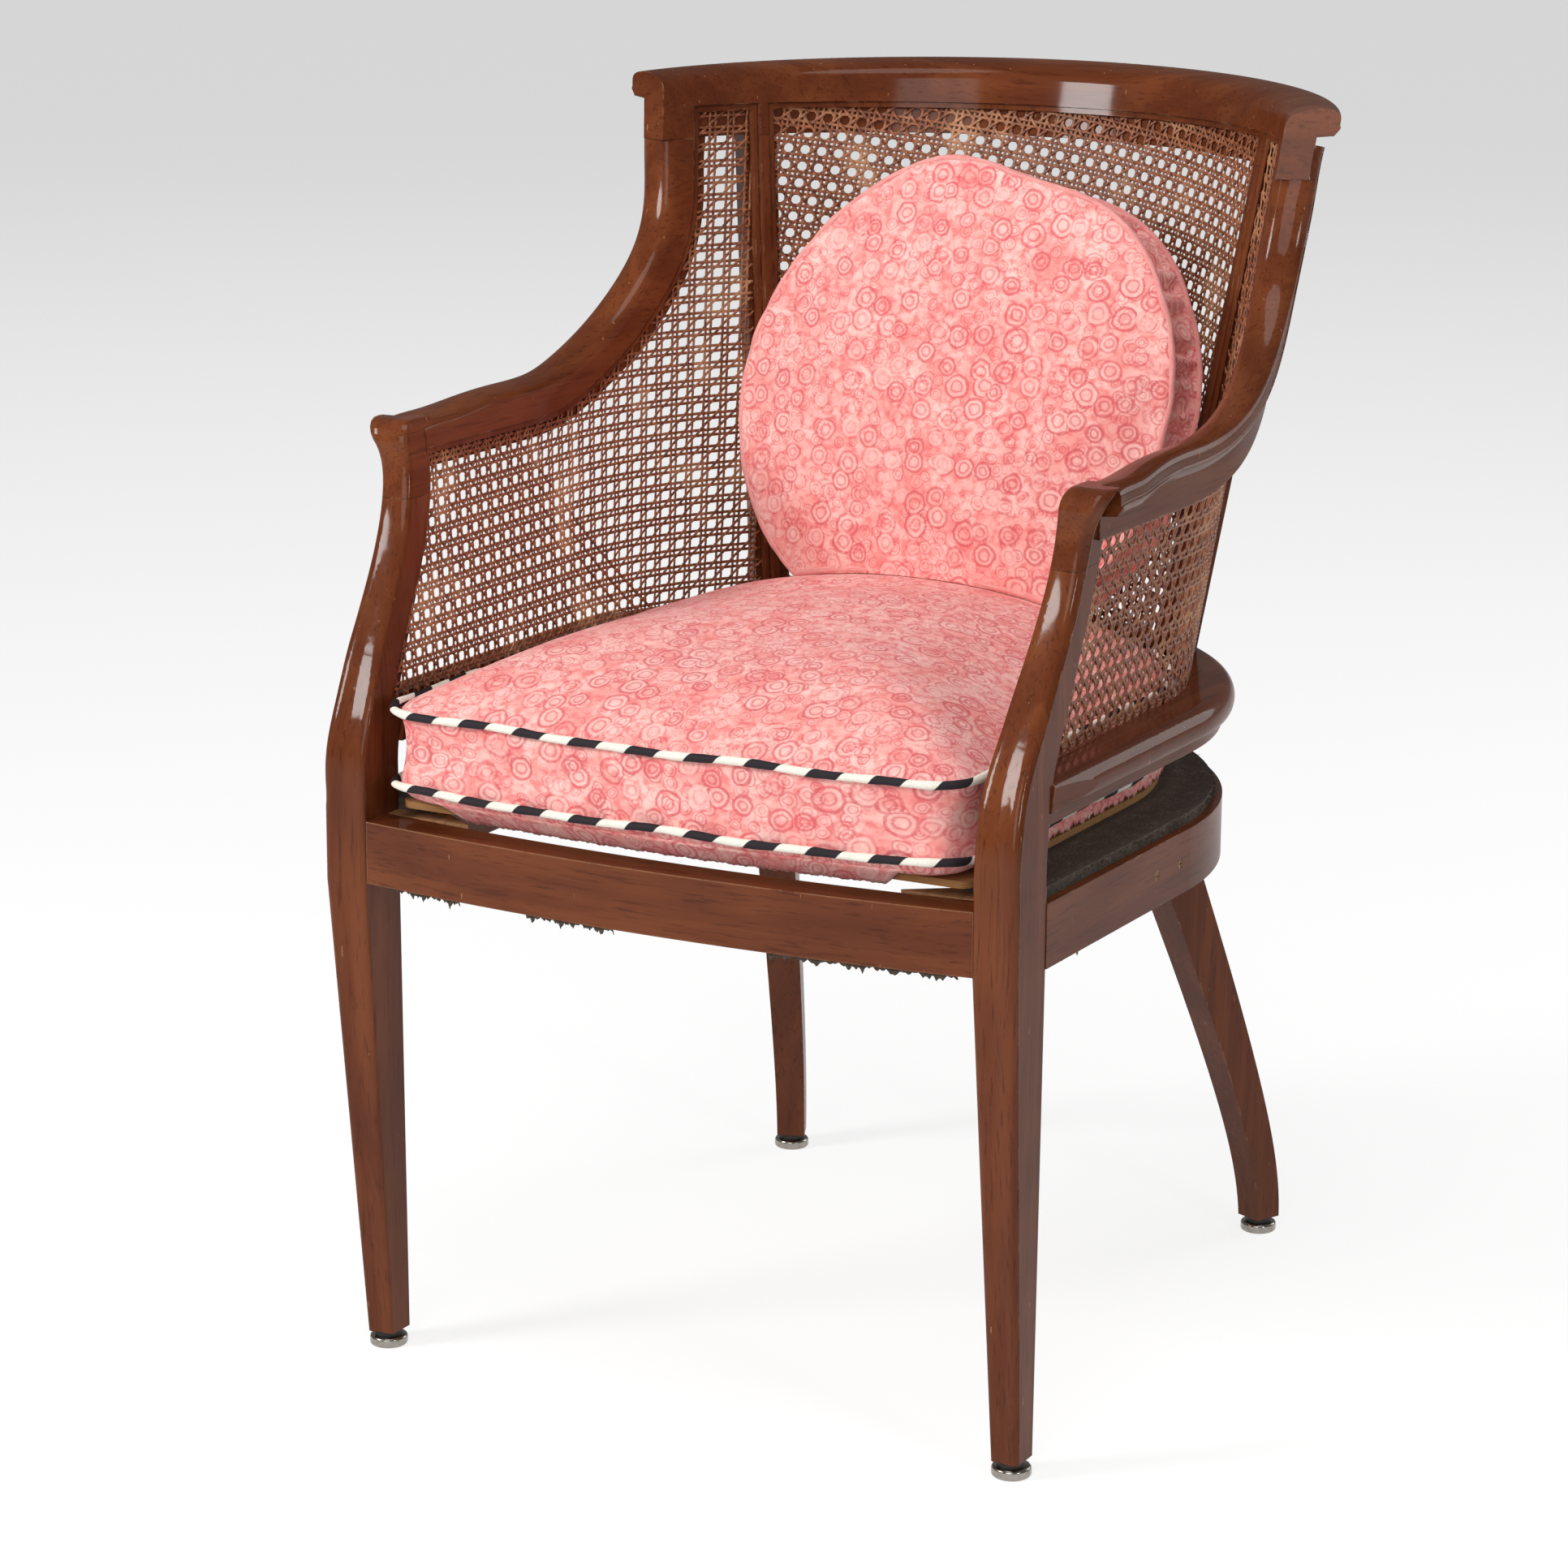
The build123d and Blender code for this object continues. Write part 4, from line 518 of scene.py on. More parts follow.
def mahogany(name, grain, finish, wear=0.5):
    """Satin mahogany: long streaks and pores along the grain, softened edges that are worn pale in
    places, more of them where wear is lower, and fine scratches."""
    wood = Finish(name)
    stretch = [1.0, 1.0, 1.0]
    stretch["xyz".index(grain)] = 0.05
    long_way = wood.place(stretch)
    figure = wood.noise(long_way, 38.0, 4.0, 0.6, 0.6)
    pores = wood.noise(long_way, 420.0, 3.0, 0.6)
    patches = wood.noise(wood.place(), 7.0, 2.0)
    streaks = wood.mix(wood.span(figure, 0.36, 0.66), finish.wood_mid, finish.wood_light)
    shaded = wood.mix(wood.span(patches, 0.35, 0.7, 0.0, 0.35), streaks, finish.wood_dark)
    pored = wood.mix(wood.span(pores, 0.52, 0.7, 0.0, 0.55), shaded, finish.wood_dark)
    rounded = wood.node("Bevel", {"Radius": 0.0016}, samples=4).outputs[0]
    true_normal = wood.node("NewGeometry").outputs["Normal"]
    flatness = wood.vector_math("DOT_PRODUCT", rounded, true_normal)
    edge = wood.span(flatness, 0.985, 0.86)
    rubbed = wood.span(wood.noise(wood.place(), 46.0, 4.0, 0.7), wear, wear + 0.14)
    worn = wood.math("MULTIPLY", edge, rubbed)
    scratch_way = wood.place((310.0, 290.0, 60.0), (0.5, 0.75, 0.9))
    scratch = wood.span(wood.noise(scratch_way, 1.0, 1.0), 0.765, 0.79, 0.0, 0.45)
    marks = wood.math("MAXIMUM", wood.math("MULTIPLY", worn, 0.6), scratch)
    wood.surface(
        Base_Color=wood.mix(marks, pored, finish.wood_bare),
        Roughness=wood.span(patches, 0.3, 0.75, 0.34, 0.48),
        Specular_IOR_Level=0.02,
        Coat_Weight=0.32,
        Coat_Roughness=0.09,
        Normal=wood.bump(pores, 0.0002, 0.35, rounded),
    )
    return wood.material


def cane_finish(cane):
    """Weathered cane: tan strands, darker along their length in streaks and paler by patches."""
    made = Finish("weathered_cane")
    streak = made.noise(made.place(), 300.0, 3.0, 0.7)
    patch = made.noise(made.place(), 17.0, 3.0, 0.6)
    ground = made.mix(made.span(streak, 0.36, 0.66), cane.dark, cane.mid)
    rubbed = made.mix(made.span(patch, 0.5, 0.72, 0.0, 0.7), ground, cane.light)
    made.surface(
        Base_Color=rubbed,
        Roughness=made.span(streak, 0.3, 0.7, 0.34, 0.55),
        Specular_IOR_Level=0.5,
        Normal=made.bump(streak, 0.0002, 0.5),
    )
    return made.material


def weave_height(cloth, where, thread):
    """Plain weave: the product of two sine ridges, one for each way of the cloth."""
    split = cloth.node("SeparateXYZ", {0: where})
    ridges = []
    for axis in ("X", "Y"):
        turns = cloth.math("MULTIPLY", split.outputs[axis], 2.0 * math.pi / thread)
        ridges.append(cloth.math("SINE", turns))
    return cloth.math("MULTIPLY", *ridges)


def ring(cloth, distance, radius, width):
    """Soft drawn circle: 1 on the radius, falling to 0 at width from it."""
    off = cloth.math("ABSOLUTE", cloth.math("SUBTRACT", distance, radius))
    return cloth.span(off, width, width * 0.25)


def pebble_print(name, cushions):
    """Tone-on-tone cotton: a mottled pink ground with hand-drawn pebbles, each a wobbly outline
    round a paler or deeper eye, scattered over the cloth."""
    cloth = Finish(name)
    flat = cloth.cloth_map()
    sway = cloth.node("TexNoise", {"Vector": flat, "Scale": 120.0, "Detail": 2.0}).outputs[1]
    centred = cloth.vector_math("SUBTRACT", sway, (0.5, 0.5, 0.5))
    scaled = cloth.vector_math("MULTIPLY", centred, (0.0042, 0.0042, 0.0))
    where = cloth.vector_math("ADD", flat, scaled)
    mottle = cloth.noise(flat, 34.0, 4.0, 0.6)
    wash = cloth.noise(flat, 150.0, 2.0)
    ground = cloth.mix(cloth.span(mottle, 0.36, 0.64), cushions.mid, cushions.pale)
    printed = cloth.mix(cloth.span(wash, 0.42, 0.66, 0.0, 0.75), ground, cushions.deep)
    for share, shift, weight in PEBBLE_LAYERS:
        moved = cloth.vector_math("ADD", where, shift)
        inputs = {"Vector": moved, "Scale": 1.0 / (cushions.motif * share), "Randomness": 0.7}
        cells = cloth.node("TexVoronoi", inputs, voronoi_dimensions="2D")
        chance = cloth.node("SeparateColor", {0: cells.outputs["Color"]})
        size = cloth.math("MULTIPLY_ADD", chance.outputs[0], 0.17, 0.28)
        reach = cells.outputs["Distance"]
        within = cloth.span(cloth.math("SUBTRACT", size, reach), -0.02, 0.05)
        paler = cloth.span(chance.outputs[1], 0.15, 0.9, 0.0, 0.6 * weight)
        printed = cloth.mix(cloth.math("MULTIPLY", within, paler), printed, cushions.pale)
        outline = ring(cloth, reach, size, 0.08)
        inner = ring(cloth, reach, cloth.math("MULTIPLY", size, 0.5), 0.065)
        drawn = cloth.math("MAXIMUM", outline, cloth.math("MULTIPLY", inner, 0.85))
        inked = cloth.math("ADD", chance.outputs[2], wash)
        strength = cloth.span(inked, 0.3, 1.3, 0.2 * weight, 0.72 * weight)
        printed = cloth.mix(cloth.math("MULTIPLY", drawn, strength), printed, cushions.line)
    cloth.surface(
        Base_Color=printed,
        Roughness=0.82,
        Specular_IOR_Level=0.25,
        Sheen_Weight=0.12,
        Sheen_Roughness=0.5,
        Normal=cloth.bump(weave_height(cloth, flat, 0.0009), 0.00012, 0.5),
    )
    return cloth.material


def striped_cloth(cushions):
    """Bias piping: black and cream stripes with slanting ends, wound along the cord."""
    cloth = Finish("striped_piping_cloth")
    flat = cloth.cloth_map()
    split = cloth.node("SeparateXYZ", {0: flat})
    slant = cloth.math("MULTIPLY_ADD", split.outputs["Y"], 0.016, split.outputs["X"])
    turn = cloth.math("FRACT", cloth.math("DIVIDE", slant, 2.0 * cushions.stripe))
    dark = cloth.math("MULTIPLY", cloth.span(turn, 0.0, 0.02), cloth.span(turn, 0.52, 0.5))
    thread = cloth.noise(cloth.place(), 900.0, 2.0)
    cream = cloth.mix(cloth.span(thread, 0.3, 0.8, 0.0, 0.14), cushions.cream, cushions.black)
    cloth.surface(
        Base_Color=cloth.mix(dark, cream, cushions.black),
        Roughness=0.72,
        Specular_IOR_Level=0.3,
        Normal=cloth.bump(thread, 0.0003, 0.5),
    )
    return cloth.material


def deck_cloth(name, finish):
    """Old black cloth: fuzzy fibres and dusty grey patches."""
    cloth = Finish(name)
    fibre = cloth.noise(cloth.place((1.0, 0.3, 1.0)), 520.0, 4.0, 0.75)
    dust = cloth.noise(cloth.place(), 60.0, 4.0, 0.7)
    grey = tuple(min(1.0, 2.4 * value + 0.02) for value in finish.cloth_black)
    worn = cloth.math("MULTIPLY", cloth.span(fibre, 0.4, 0.68), cloth.span(dust, 0.4, 0.7, 0.15, 0.9))
    cloth.surface(
        Base_Color=cloth.mix(worn, finish.cloth_black, grey),
        Roughness=0.88,
        Specular_IOR_Level=0.3,
        Normal=cloth.bump(cloth.math("ADD", fibre, dust), 0.0012, 0.8),
    )
    return cloth.material


def plain_wood(name, ground, grain, bands):
    """Raw softwood or plywood: streaks along the grain, or layers of ply one above the other."""
    wood = Finish(name)
    stretch = [1.0, 1.0, 1.0]
    stretch["xyz".index(grain)] = 0.06
    streak = wood.noise(wood.place(stretch), 160.0, 4.0, 0.6)
    dark = tuple(0.55 * value for value in ground)
    layered = wood.mix(wood.span(streak, 0.4, 0.7, 0.0, 0.6), ground, dark)
    if bands:
        height = wood.node("SeparateXYZ", {0: wood.place()}).outputs["Z"]
        ply = wood.math("SINE", wood.math("MULTIPLY", height, 2.0 * math.pi / bands))
        layered = wood.mix(wood.span(ply, -0.2, 0.5, 0.0, 0.5), layered, dark)
    wood.surface(
        Base_Color=layered, Roughness=0.7, Specular_IOR_Level=0.3, Normal=wood.bump(streak, 0.0003, 0.4)
    )
    return wood.material


def bright_metal(name, ground, roughness):
    """Polished or dull metal with faint scuffs."""
    metal = Finish(name)
    scuff = metal.noise(metal.place(), 240.0, 3.0, 0.6)
    dull = tuple(0.72 * value for value in ground)
    metal.surface(
        Base_Color=metal.mix(metal.span(scuff, 0.45, 0.75), ground, dull),
        Metallic=1.0,
        Roughness=metal.span(scuff, 0.3, 0.75, roughness, roughness + 0.2),
    )
    return metal.material


def rubber(name):
    """Black rubber with a dusty bloom."""
    made = Finish(name)
    bloom = made.noise(made.place(), 180.0, 3.0)
    made.surface(
        Base_Color=made.mix(made.span(bloom, 0.4, 0.8), tone(24, 22, 21), tone(52, 48, 45)),
        Roughness=made.span(bloom, 0.3, 0.8, 0.5, 0.75),
    )
    return made.material


def paint(finish, *nodes):
    """Puts a finish on CAD nodes, which keep their own meshes."""
    for node in nodes:
        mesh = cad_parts[node].data
        mesh.materials.clear()
        mesh.materials.append(finish)


def sided(*stems):
    """Names of the left and right pieces of each stem."""
    return [f"{stem}_{side}" for stem in stems for side in ("left", "right")]


class ARMCHAIR_OT_wood(Operator):
    """Gives every wooden piece of the frame its mahogany, with the grain along the piece"""

    bl_idname = "armchair.wood"
    bl_label = "Frame finish"

    def execute(self, context):
        finish = context.scene.armchair_finish
        standing = sided("front_post", "rear_leg", "back_stile", "stub_post")
        paint(mahogany("mahogany_upright", "z", finish), *standing)
        paint(mahogany("mahogany_across", "x", finish), "crest_rail", "seat_rail_back", "lower_rail_back")
        paint(mahogany("mahogany_front", "x", finish, 0.34), "seat_rail_front")
        paint(mahogany("mahogany_lengthwise", "y", finish), *sided("arm", "lower_rail", "seat_rail"))
        paint(mahogany("mahogany_spline", "z", finish), *sided("cane_spline"), "cane_spline_back")
        raw = plain_wood("raw_hardwood", tone(168, 120, 82), "y", 0.0)
        paint(raw, *sided("side_block", "corner_block"))
        pins = ["arm", "crest", "front_rail", "side_rail", "rear_leg", "stub_post", "stile", "hoop"]
        beech = plain_wood("dowel_beech", tone(196, 152, 106), "z", 0.0)
        paint(beech, *[f"{pin}_dowels" for pin in pins])
        return {"FINISHED"}


class ARMCHAIR_OT_fittings(Operator):
    """Gives the glides, screws, deck and board their finishes"""

    bl_idname = "armchair.fittings"
    bl_label = "Fittings"

    def execute(self, context):
        finish = context.scene.armchair_finish
        paint(bright_metal("nickel_plate", tone(158, 152, 144), 0.12), "glide_caps")
        paint(bright_metal("dull_steel", tone(140, 106, 66), 0.4), "rail_screws", "glide_nails")
        paint(rubber("glide_rubber"), "glide_cushions")
        paint(deck_cloth("deck_cloth", finish), "seat_deck")
        paint(plain_wood("board_ply", tuple(finish.ply), "x", 0.0017), "seat_board")
        return {"FINISHED"}


# Flat six-sided section of a strand, as shares of half its width and half its thickness
STRAND_ACROSS = np.array([-1.0, -0.55, 0.55, 1.0, 0.55, -0.55])
STRAND_THROUGH = np.array([0.0, 1.0, 1.0, 0.0, -1.0, -1.0])


def tube_walls(base, sides):
    """Quads between each ring of sides points, which starts at base, and the ring after it."""
    around = np.arange(sides)
    ahead = (around + 1) % sides
    corners = [base + around, base + ahead, base + sides + ahead, base + sides + around]
    return np.stack(corners, axis=-1).reshape(-1, 4)


def strands(name, run, z, out, across, keep, cane, mirrored):
    """Strands of cane on the barrel wall.

    run, z and out are grids, a row for each strand and a column for each step along it. The flat
    section is carried along every row, and across says which way its width lies on the wall.
    Steps where keep is false are left out, and each run of kept steps is closed at both ends.
    """
    width = cane.width / 2 * STRAND_ACROSS
    depth = cane.thickness / 2 * STRAND_THROUGH
    points = wall_points(
        run[..., None] + across[0] * width, z[..., None] + across[1] * width, out[..., None] + depth
    )
    if mirrored:
        points = points * np.array([-1.0, 1.0, 1.0])
    sides = len(STRAND_ACROSS)
    steps = run.shape[1]
    span = keep[:, :-1] & keep[:, 1:]
    padded = np.pad(span, ((0, 0), (1, 1)))
    first = np.argwhere(padded[:, 1:-1] & ~padded[:, :-2])
    last = np.argwhere(padded[:, 1:-1] & ~padded[:, 2:])
    strand, step = np.nonzero(span)
    walls = tube_walls(((strand * steps + step) * sides)[:, None], sides)
    around = np.arange(sides)
    starts = ((first[:, 0] * steps + first[:, 1]) * sides)[:, None] + around[::-1]
    ends = ((last[:, 0] * steps + last[:, 1] + 1) * sides)[:, None] + around
    return piece_from(name, points, [walls, starts, ends])


def strand_grids(low, high, cane):
    """The four ways of the weave over a field from low to high (run, z).

    Uprights and courses lie in pairs about the lines of a square grid. The diagonals cross
    half way between its knots. Each way is (name, run, z, out, across) and rises and falls as a
    cosine along its length, so that it passes over one way and under the next.
    """
    pitch = cane.pitch
    turn = 2.0 * math.pi / pitch
    ways = []
    for axis, name, lift in ((0, "uprights", cane.wave), (1, "courses", -cane.wave)):
        first, last = math.ceil(low[axis] / pitch) - 1, math.floor(high[axis] / pitch) + 2
        line = np.arange(first, last) * pitch
        pairs = np.sort(np.concatenate([line - cane.pair, line + cane.pair]))[:, None]
        along = np.arange(low[1 - axis], high[1 - axis], pitch / 4)[None, :]
        flip = np.where(np.arange(len(pairs)) % 2, 1.0, -1.0)[:, None]
        grids = (pairs + 0 * along, along + 0 * pairs)
        run, z = grids if axis == 0 else grids[::-1]
        ways.append((name, run, z, lift * flip * np.cos(turn * along), (1.0 - axis, float(axis))))
    reach = high[0] - low[0] + high[1] - low[1]
    step = pitch / 5
    for name, slope in (("rising", 1.0), ("falling", -1.0)):
        offset = (np.arange(-math.ceil(reach / pitch), math.ceil(reach / pitch)) + 0.5)[:, None] * pitch
        along = np.arange(low[0], high[0], step)[None, :]
        height = slope * along + offset
        inside = (height > low[1]) & (height < high[1])
        rows = inside.any(axis=1)
        out = slope * 1.5 * cane.wave * np.cos(turn * along) + 0 * height
        side = (math.sqrt(0.5), -slope * math.sqrt(0.5))
        ways.append((name, (along + 0 * height)[rows], height[rows], out[rows], side))
    return ways


def tilted_weave(low, high, cane, tilt):
    """The four ways of the weave over a field, turned by tilt about its middle: each point and each
    strand's width is turned, and the weave reaches past the field's corners."""
    middle = np.add(low, high) / 2
    cosine, sine = math.cos(tilt), math.sin(tilt)
    reach = np.array([[cosine, sine], [sine, cosine]]) @ (np.array(high) - middle)
    ways = []
    for name, run, z, out, across in strand_grids(-reach, reach, cane):
        turned = (middle[0] + run * cosine - z * sine, middle[1] + run * sine + z * cosine)
        side = (across[0] * cosine - across[1] * sine, across[0] * sine + across[1] * cosine)
        ways.append((name, *turned, out, side))
    return ways


class ARMCHAIR_OT_cane(Operator):
    """Weaves the three cane panels, strand by strand, on the barrel wall"""

    bl_idname = "armchair.cane"
    bl_label = "Cane panels"

    def execute(self, context):
        cane = context.scene.armchair_cane
        finish = cane_finish(cane)
        outline = side_border()
        head_z = BORDER_HEAD[1]
        side_end = (WALL_STRAIGHT + WALL_MID_RADIUS * STILE_ANGLE[0]) / cane.stretch
        side_weave = strand_grids((0.0, BORDER_FOOT_Z), (side_end, head_z), cane)
        for name, run, z, out, across in side_weave:
            run = run * cane.stretch
            points = wall_points(run, z, out)
            keep = inside_outline(points[..., 1], z, outline, cane.margin)
            for side in ("left", "right"):
                piece = strands(f"cane_{side}_{name}", run, z, out, across, keep, cane, side == "right")
                dress(piece, finish, "frame", "cane", f"cane_panel_{side}")
        middle = WALL_STRAIGHT + WALL_MID_RADIUS * math.pi / 2
        half = WALL_MID_RADIUS * (math.pi / 2 - STILE_ANGLE[1])
        back_weave = tilted_weave((-half, BORDER_FOOT_Z), (half, head_z), cane, cane.tilt)
        for name, run, z, out, across in back_weave:
            radius = wall_values(z)[0]
            room = (math.pi / 2 - stile_angle(z)) * radius - STILE_FACE / 2 - cane.margin
            keep = np.abs(run) / WALL_MID_RADIUS * radius < room
            keep &= (z > BORDER_FOOT_Z + cane.margin) & (z < head_z - cane.margin)
            piece = strands(f"cane_back_{name}", run + middle, z, out, across, keep, cane, False)
            dress(piece, finish, "frame", "cane", "cane_panel_back")
        return {"FINISHED"}


def travelled(path):
    """Distance along a path from its first point to each of its points."""
    return np.concatenate([[0.0], np.cumsum(np.linalg.norm(np.diff(path, axis=0), axis=1))])


def even_loop(loop, count):
    """Closed loop of points spaced evenly along its length."""
    closed = np.concatenate([loop, loop[:1]])
    travel = travelled(closed)
    spots = np.linspace(0.0, travel[-1], count, endpoint=False)
    return np.stack([np.interp(spots, travel, closed[:, axis]) for axis in range(2)], axis=-1)


def seat_outline(inset, count):
    """Plan of the seat cushion, drawn in by inset: a bowed front, straight sides and a round back.

    The corners are rounded by averaging the loop over a stretch twice as long as the radius. It
    starts at the middle of the back.
    """
    half = SEAT_HALF_WIDTH - inset
    front = SEAT_FRONT_Y + inset
    corner = max(SEAT_CORNER - 0.5 * inset, 0.008)
    turn = np.linspace(math.pi / 2, 0.0, 200)
    right = np.stack([half * np.cos(turn), SEAT_CENTRE_Y + half * np.sin(turn)], axis=-1)
    x = np.linspace(half, -half, 200)
    bow = np.stack([x, front - SEAT_BOW * (1.0 - (x / half) ** 2)], axis=-1)
    left = right[::-1] * np.array([-1.0, 1.0])
    loop = even_loop(np.concatenate([right, bow, left[:-1]]), 1200)
    size = np.linalg.norm(np.diff(loop, axis=0), axis=1).mean()
    reach = max(1, int(corner / size))
    wrapped = np.concatenate([loop[-reach:], loop, loop[:reach]])
    kernel = np.full(2 * reach + 1, 1.0 / (2 * reach + 1))
    rounded = [np.convolve(wrapped[:, axis], kernel, mode="valid") for axis in range(2)]
    return even_loop(np.stack(rounded, axis=-1), count)


def seat_crown_z(inset):
    """Top of the seat cushion: a crown that rises as 1 less the fullness power of the share left."""
    share = np.clip(inset / (SEAT_HALF_WIDTH * SEAT_CROWN_REACH), 0.0, 1.0)
    return SEAT_WELT_Z[1] + SEAT_CROWN * (1.0 - (1.0 - share) ** SEAT_FULLNESS)


def pole_faces(pole, row, count):
    """Triangles from one point to a closed row of count points that starts at row."""
    around = np.arange(count)
    return np.stack([np.full(count, pole), row + around, row + (around + 1) % count], axis=-1)


def closed_rows(name, rows):
    """Closed shape from rows of points with a pole at each end, at the middle of the end rows."""
    count = rows.shape[1]
    points = np.concatenate([rows.reshape(-1, 3), [rows[0].mean(axis=0)], [rows[-1].mean(axis=0)]])
    total = rows.shape[0] * count
    walls = grid_faces(rows.shape[0], count, wrap_columns=True)
    low = pole_faces(total, 0, count)[:, ::-1]
    high = pole_faces(total + 1, total - count, count)
    return piece_from(name, points, [walls, low, high])


def stored(items, key, width=3, kind=float):
    """One stored value of every vertex, corner or face of a mesh, as rows of width numbers."""
    values = np.empty(len(items) * width, kind)
    items.foreach_get(key, values)
    return values.reshape(-1, width)


def mesh_points(mesh):
    """Places of a mesh's vertices."""
    return stored(mesh.vertices, "co")


def corner_vertices(mesh):
    """Vertex number of every face corner."""
    return stored(mesh.loops, "vertex_index", 1, np.int64)[:, 0]


def corner_faces(mesh):
    """Face number of every face corner."""
    sizes = stored(mesh.polygons, "loop_total", 1, np.int64)[:, 0]
    return np.repeat(np.arange(len(sizes)), sizes)


def set_points(mesh, points):
    """Moves a mesh's vertices."""
    mesh.vertices.foreach_set("co", np.ascontiguousarray(points).ravel())
    mesh.update()


def evaluated(piece):
    """Mesh of a piece with its modifiers worked out."""
    graph = bpy.context.evaluated_depsgraph_get()
    return bpy.data.meshes.new_from_object(piece.evaluated_get(graph))


def apply_modifiers(piece):
    """Puts a piece's modifiers into its mesh."""
    mesh = evaluated(piece)
    piece.modifiers.clear()
    piece.data = mesh


def remesh(piece, size):
    """Replaces a closed shape by even cells of that size."""
    cells = piece.modifiers.new("cells", "REMESH")
    cells.mode = "VOXEL"
    cells.voxel_size = size
    apply_modifiers(piece)


def blow_up(piece, held, cushions):
    """Cushion cloth under pressure: some frames of cloth with the seams held, and a limit on how far
    a point moves. The result goes into the mesh."""
    rest = mesh_points(piece.data)
    group = piece.vertex_groups.new(name="seams")
    group.add(np.nonzero(held)[0].tolist(), 1.0, "REPLACE")
    modifier = piece.modifiers.new("filling", "CLOTH")
    cloth = modifier.settings
    cloth.vertex_group_mass = group.name
    cloth.quality = 6
    cloth.mass = 0.3
    cloth.tension_stiffness = 12.0
    cloth.compression_stiffness = 12.0
    cloth.shear_stiffness = 5.0
    cloth.bending_stiffness = 0.4
    cloth.use_pressure = True
    cloth.uniform_pressure_force = cushions.pressure
    cloth.effector_weights.gravity = 0.0
    for number in range(1, BLOWING_FRAMES + 1):
        bpy.context.scene.frame_set(number)
    blown = mesh_points(evaluated(piece))
    bpy.context.scene.frame_set(1)
    piece.modifiers.clear()
    piece.vertex_groups.clear()
    move = blown - rest
    far = np.linalg.norm(move, axis=1, keepdims=True)
    set_points(piece.data, rest + move * np.minimum(1.0, cushions.cap / np.maximum(far, 1e-9)))


def refine(piece):
    """One level of subdivision, put into the mesh."""
    rounder = piece.modifiers.new("finer", "SUBSURF")
    rounder.levels = 1
    rounder.render_levels = 1
    apply_modifiers(piece)
    piece.data.shade_smooth()


def lumps(points, waves):
    """Slow swells of a filling: a sum of sines over the plan, one for each (turns, phase, height)."""
    total = np.zeros(len(points))
    for turns, phase, height in waves:
        total += height * np.sin(points @ np.array(turns) + phase)
    return total


def put_cloth_map(mesh, flat):
    """Stores a flat position in metres for every face corner."""
    layer = mesh.uv_layers.new(name="cloth")
    layer.data.foreach_set("uv", np.ascontiguousarray(flat, dtype=np.float32).ravel())


def seat_top(points):
    """Height of the seat cushion's plain crown under points, by their distance from its round back
    and its sides."""
    off_centre = np.hypot(points[..., 0], np.maximum(points[..., 1] - SEAT_CENTRE_Y, 0.0))
    return seat_crown_z(np.maximum(SEAT_HALF_WIDTH - off_centre, 0.0))


def pressed(points):
    """Heights of seat points, drawn to a small gap below the plain crown where the round cushion
    stands and let free over the fade beyond it."""
    beside = np.maximum(np.abs(points[:, 0] - ROUND_CENTRE[0]) - ROUND_RADIUS, 0.0)
    away = np.maximum(np.abs(points[:, 1] - ROUND_FOOT_Y) - ROUND_BOXING, 0.0)
    hold = 1.0 - smooth(np.hypot(beside, away) / PRESS_FADE)
    return points[:, 2] + hold * (seat_top(points) - PRESS_GAP - points[:, 2])


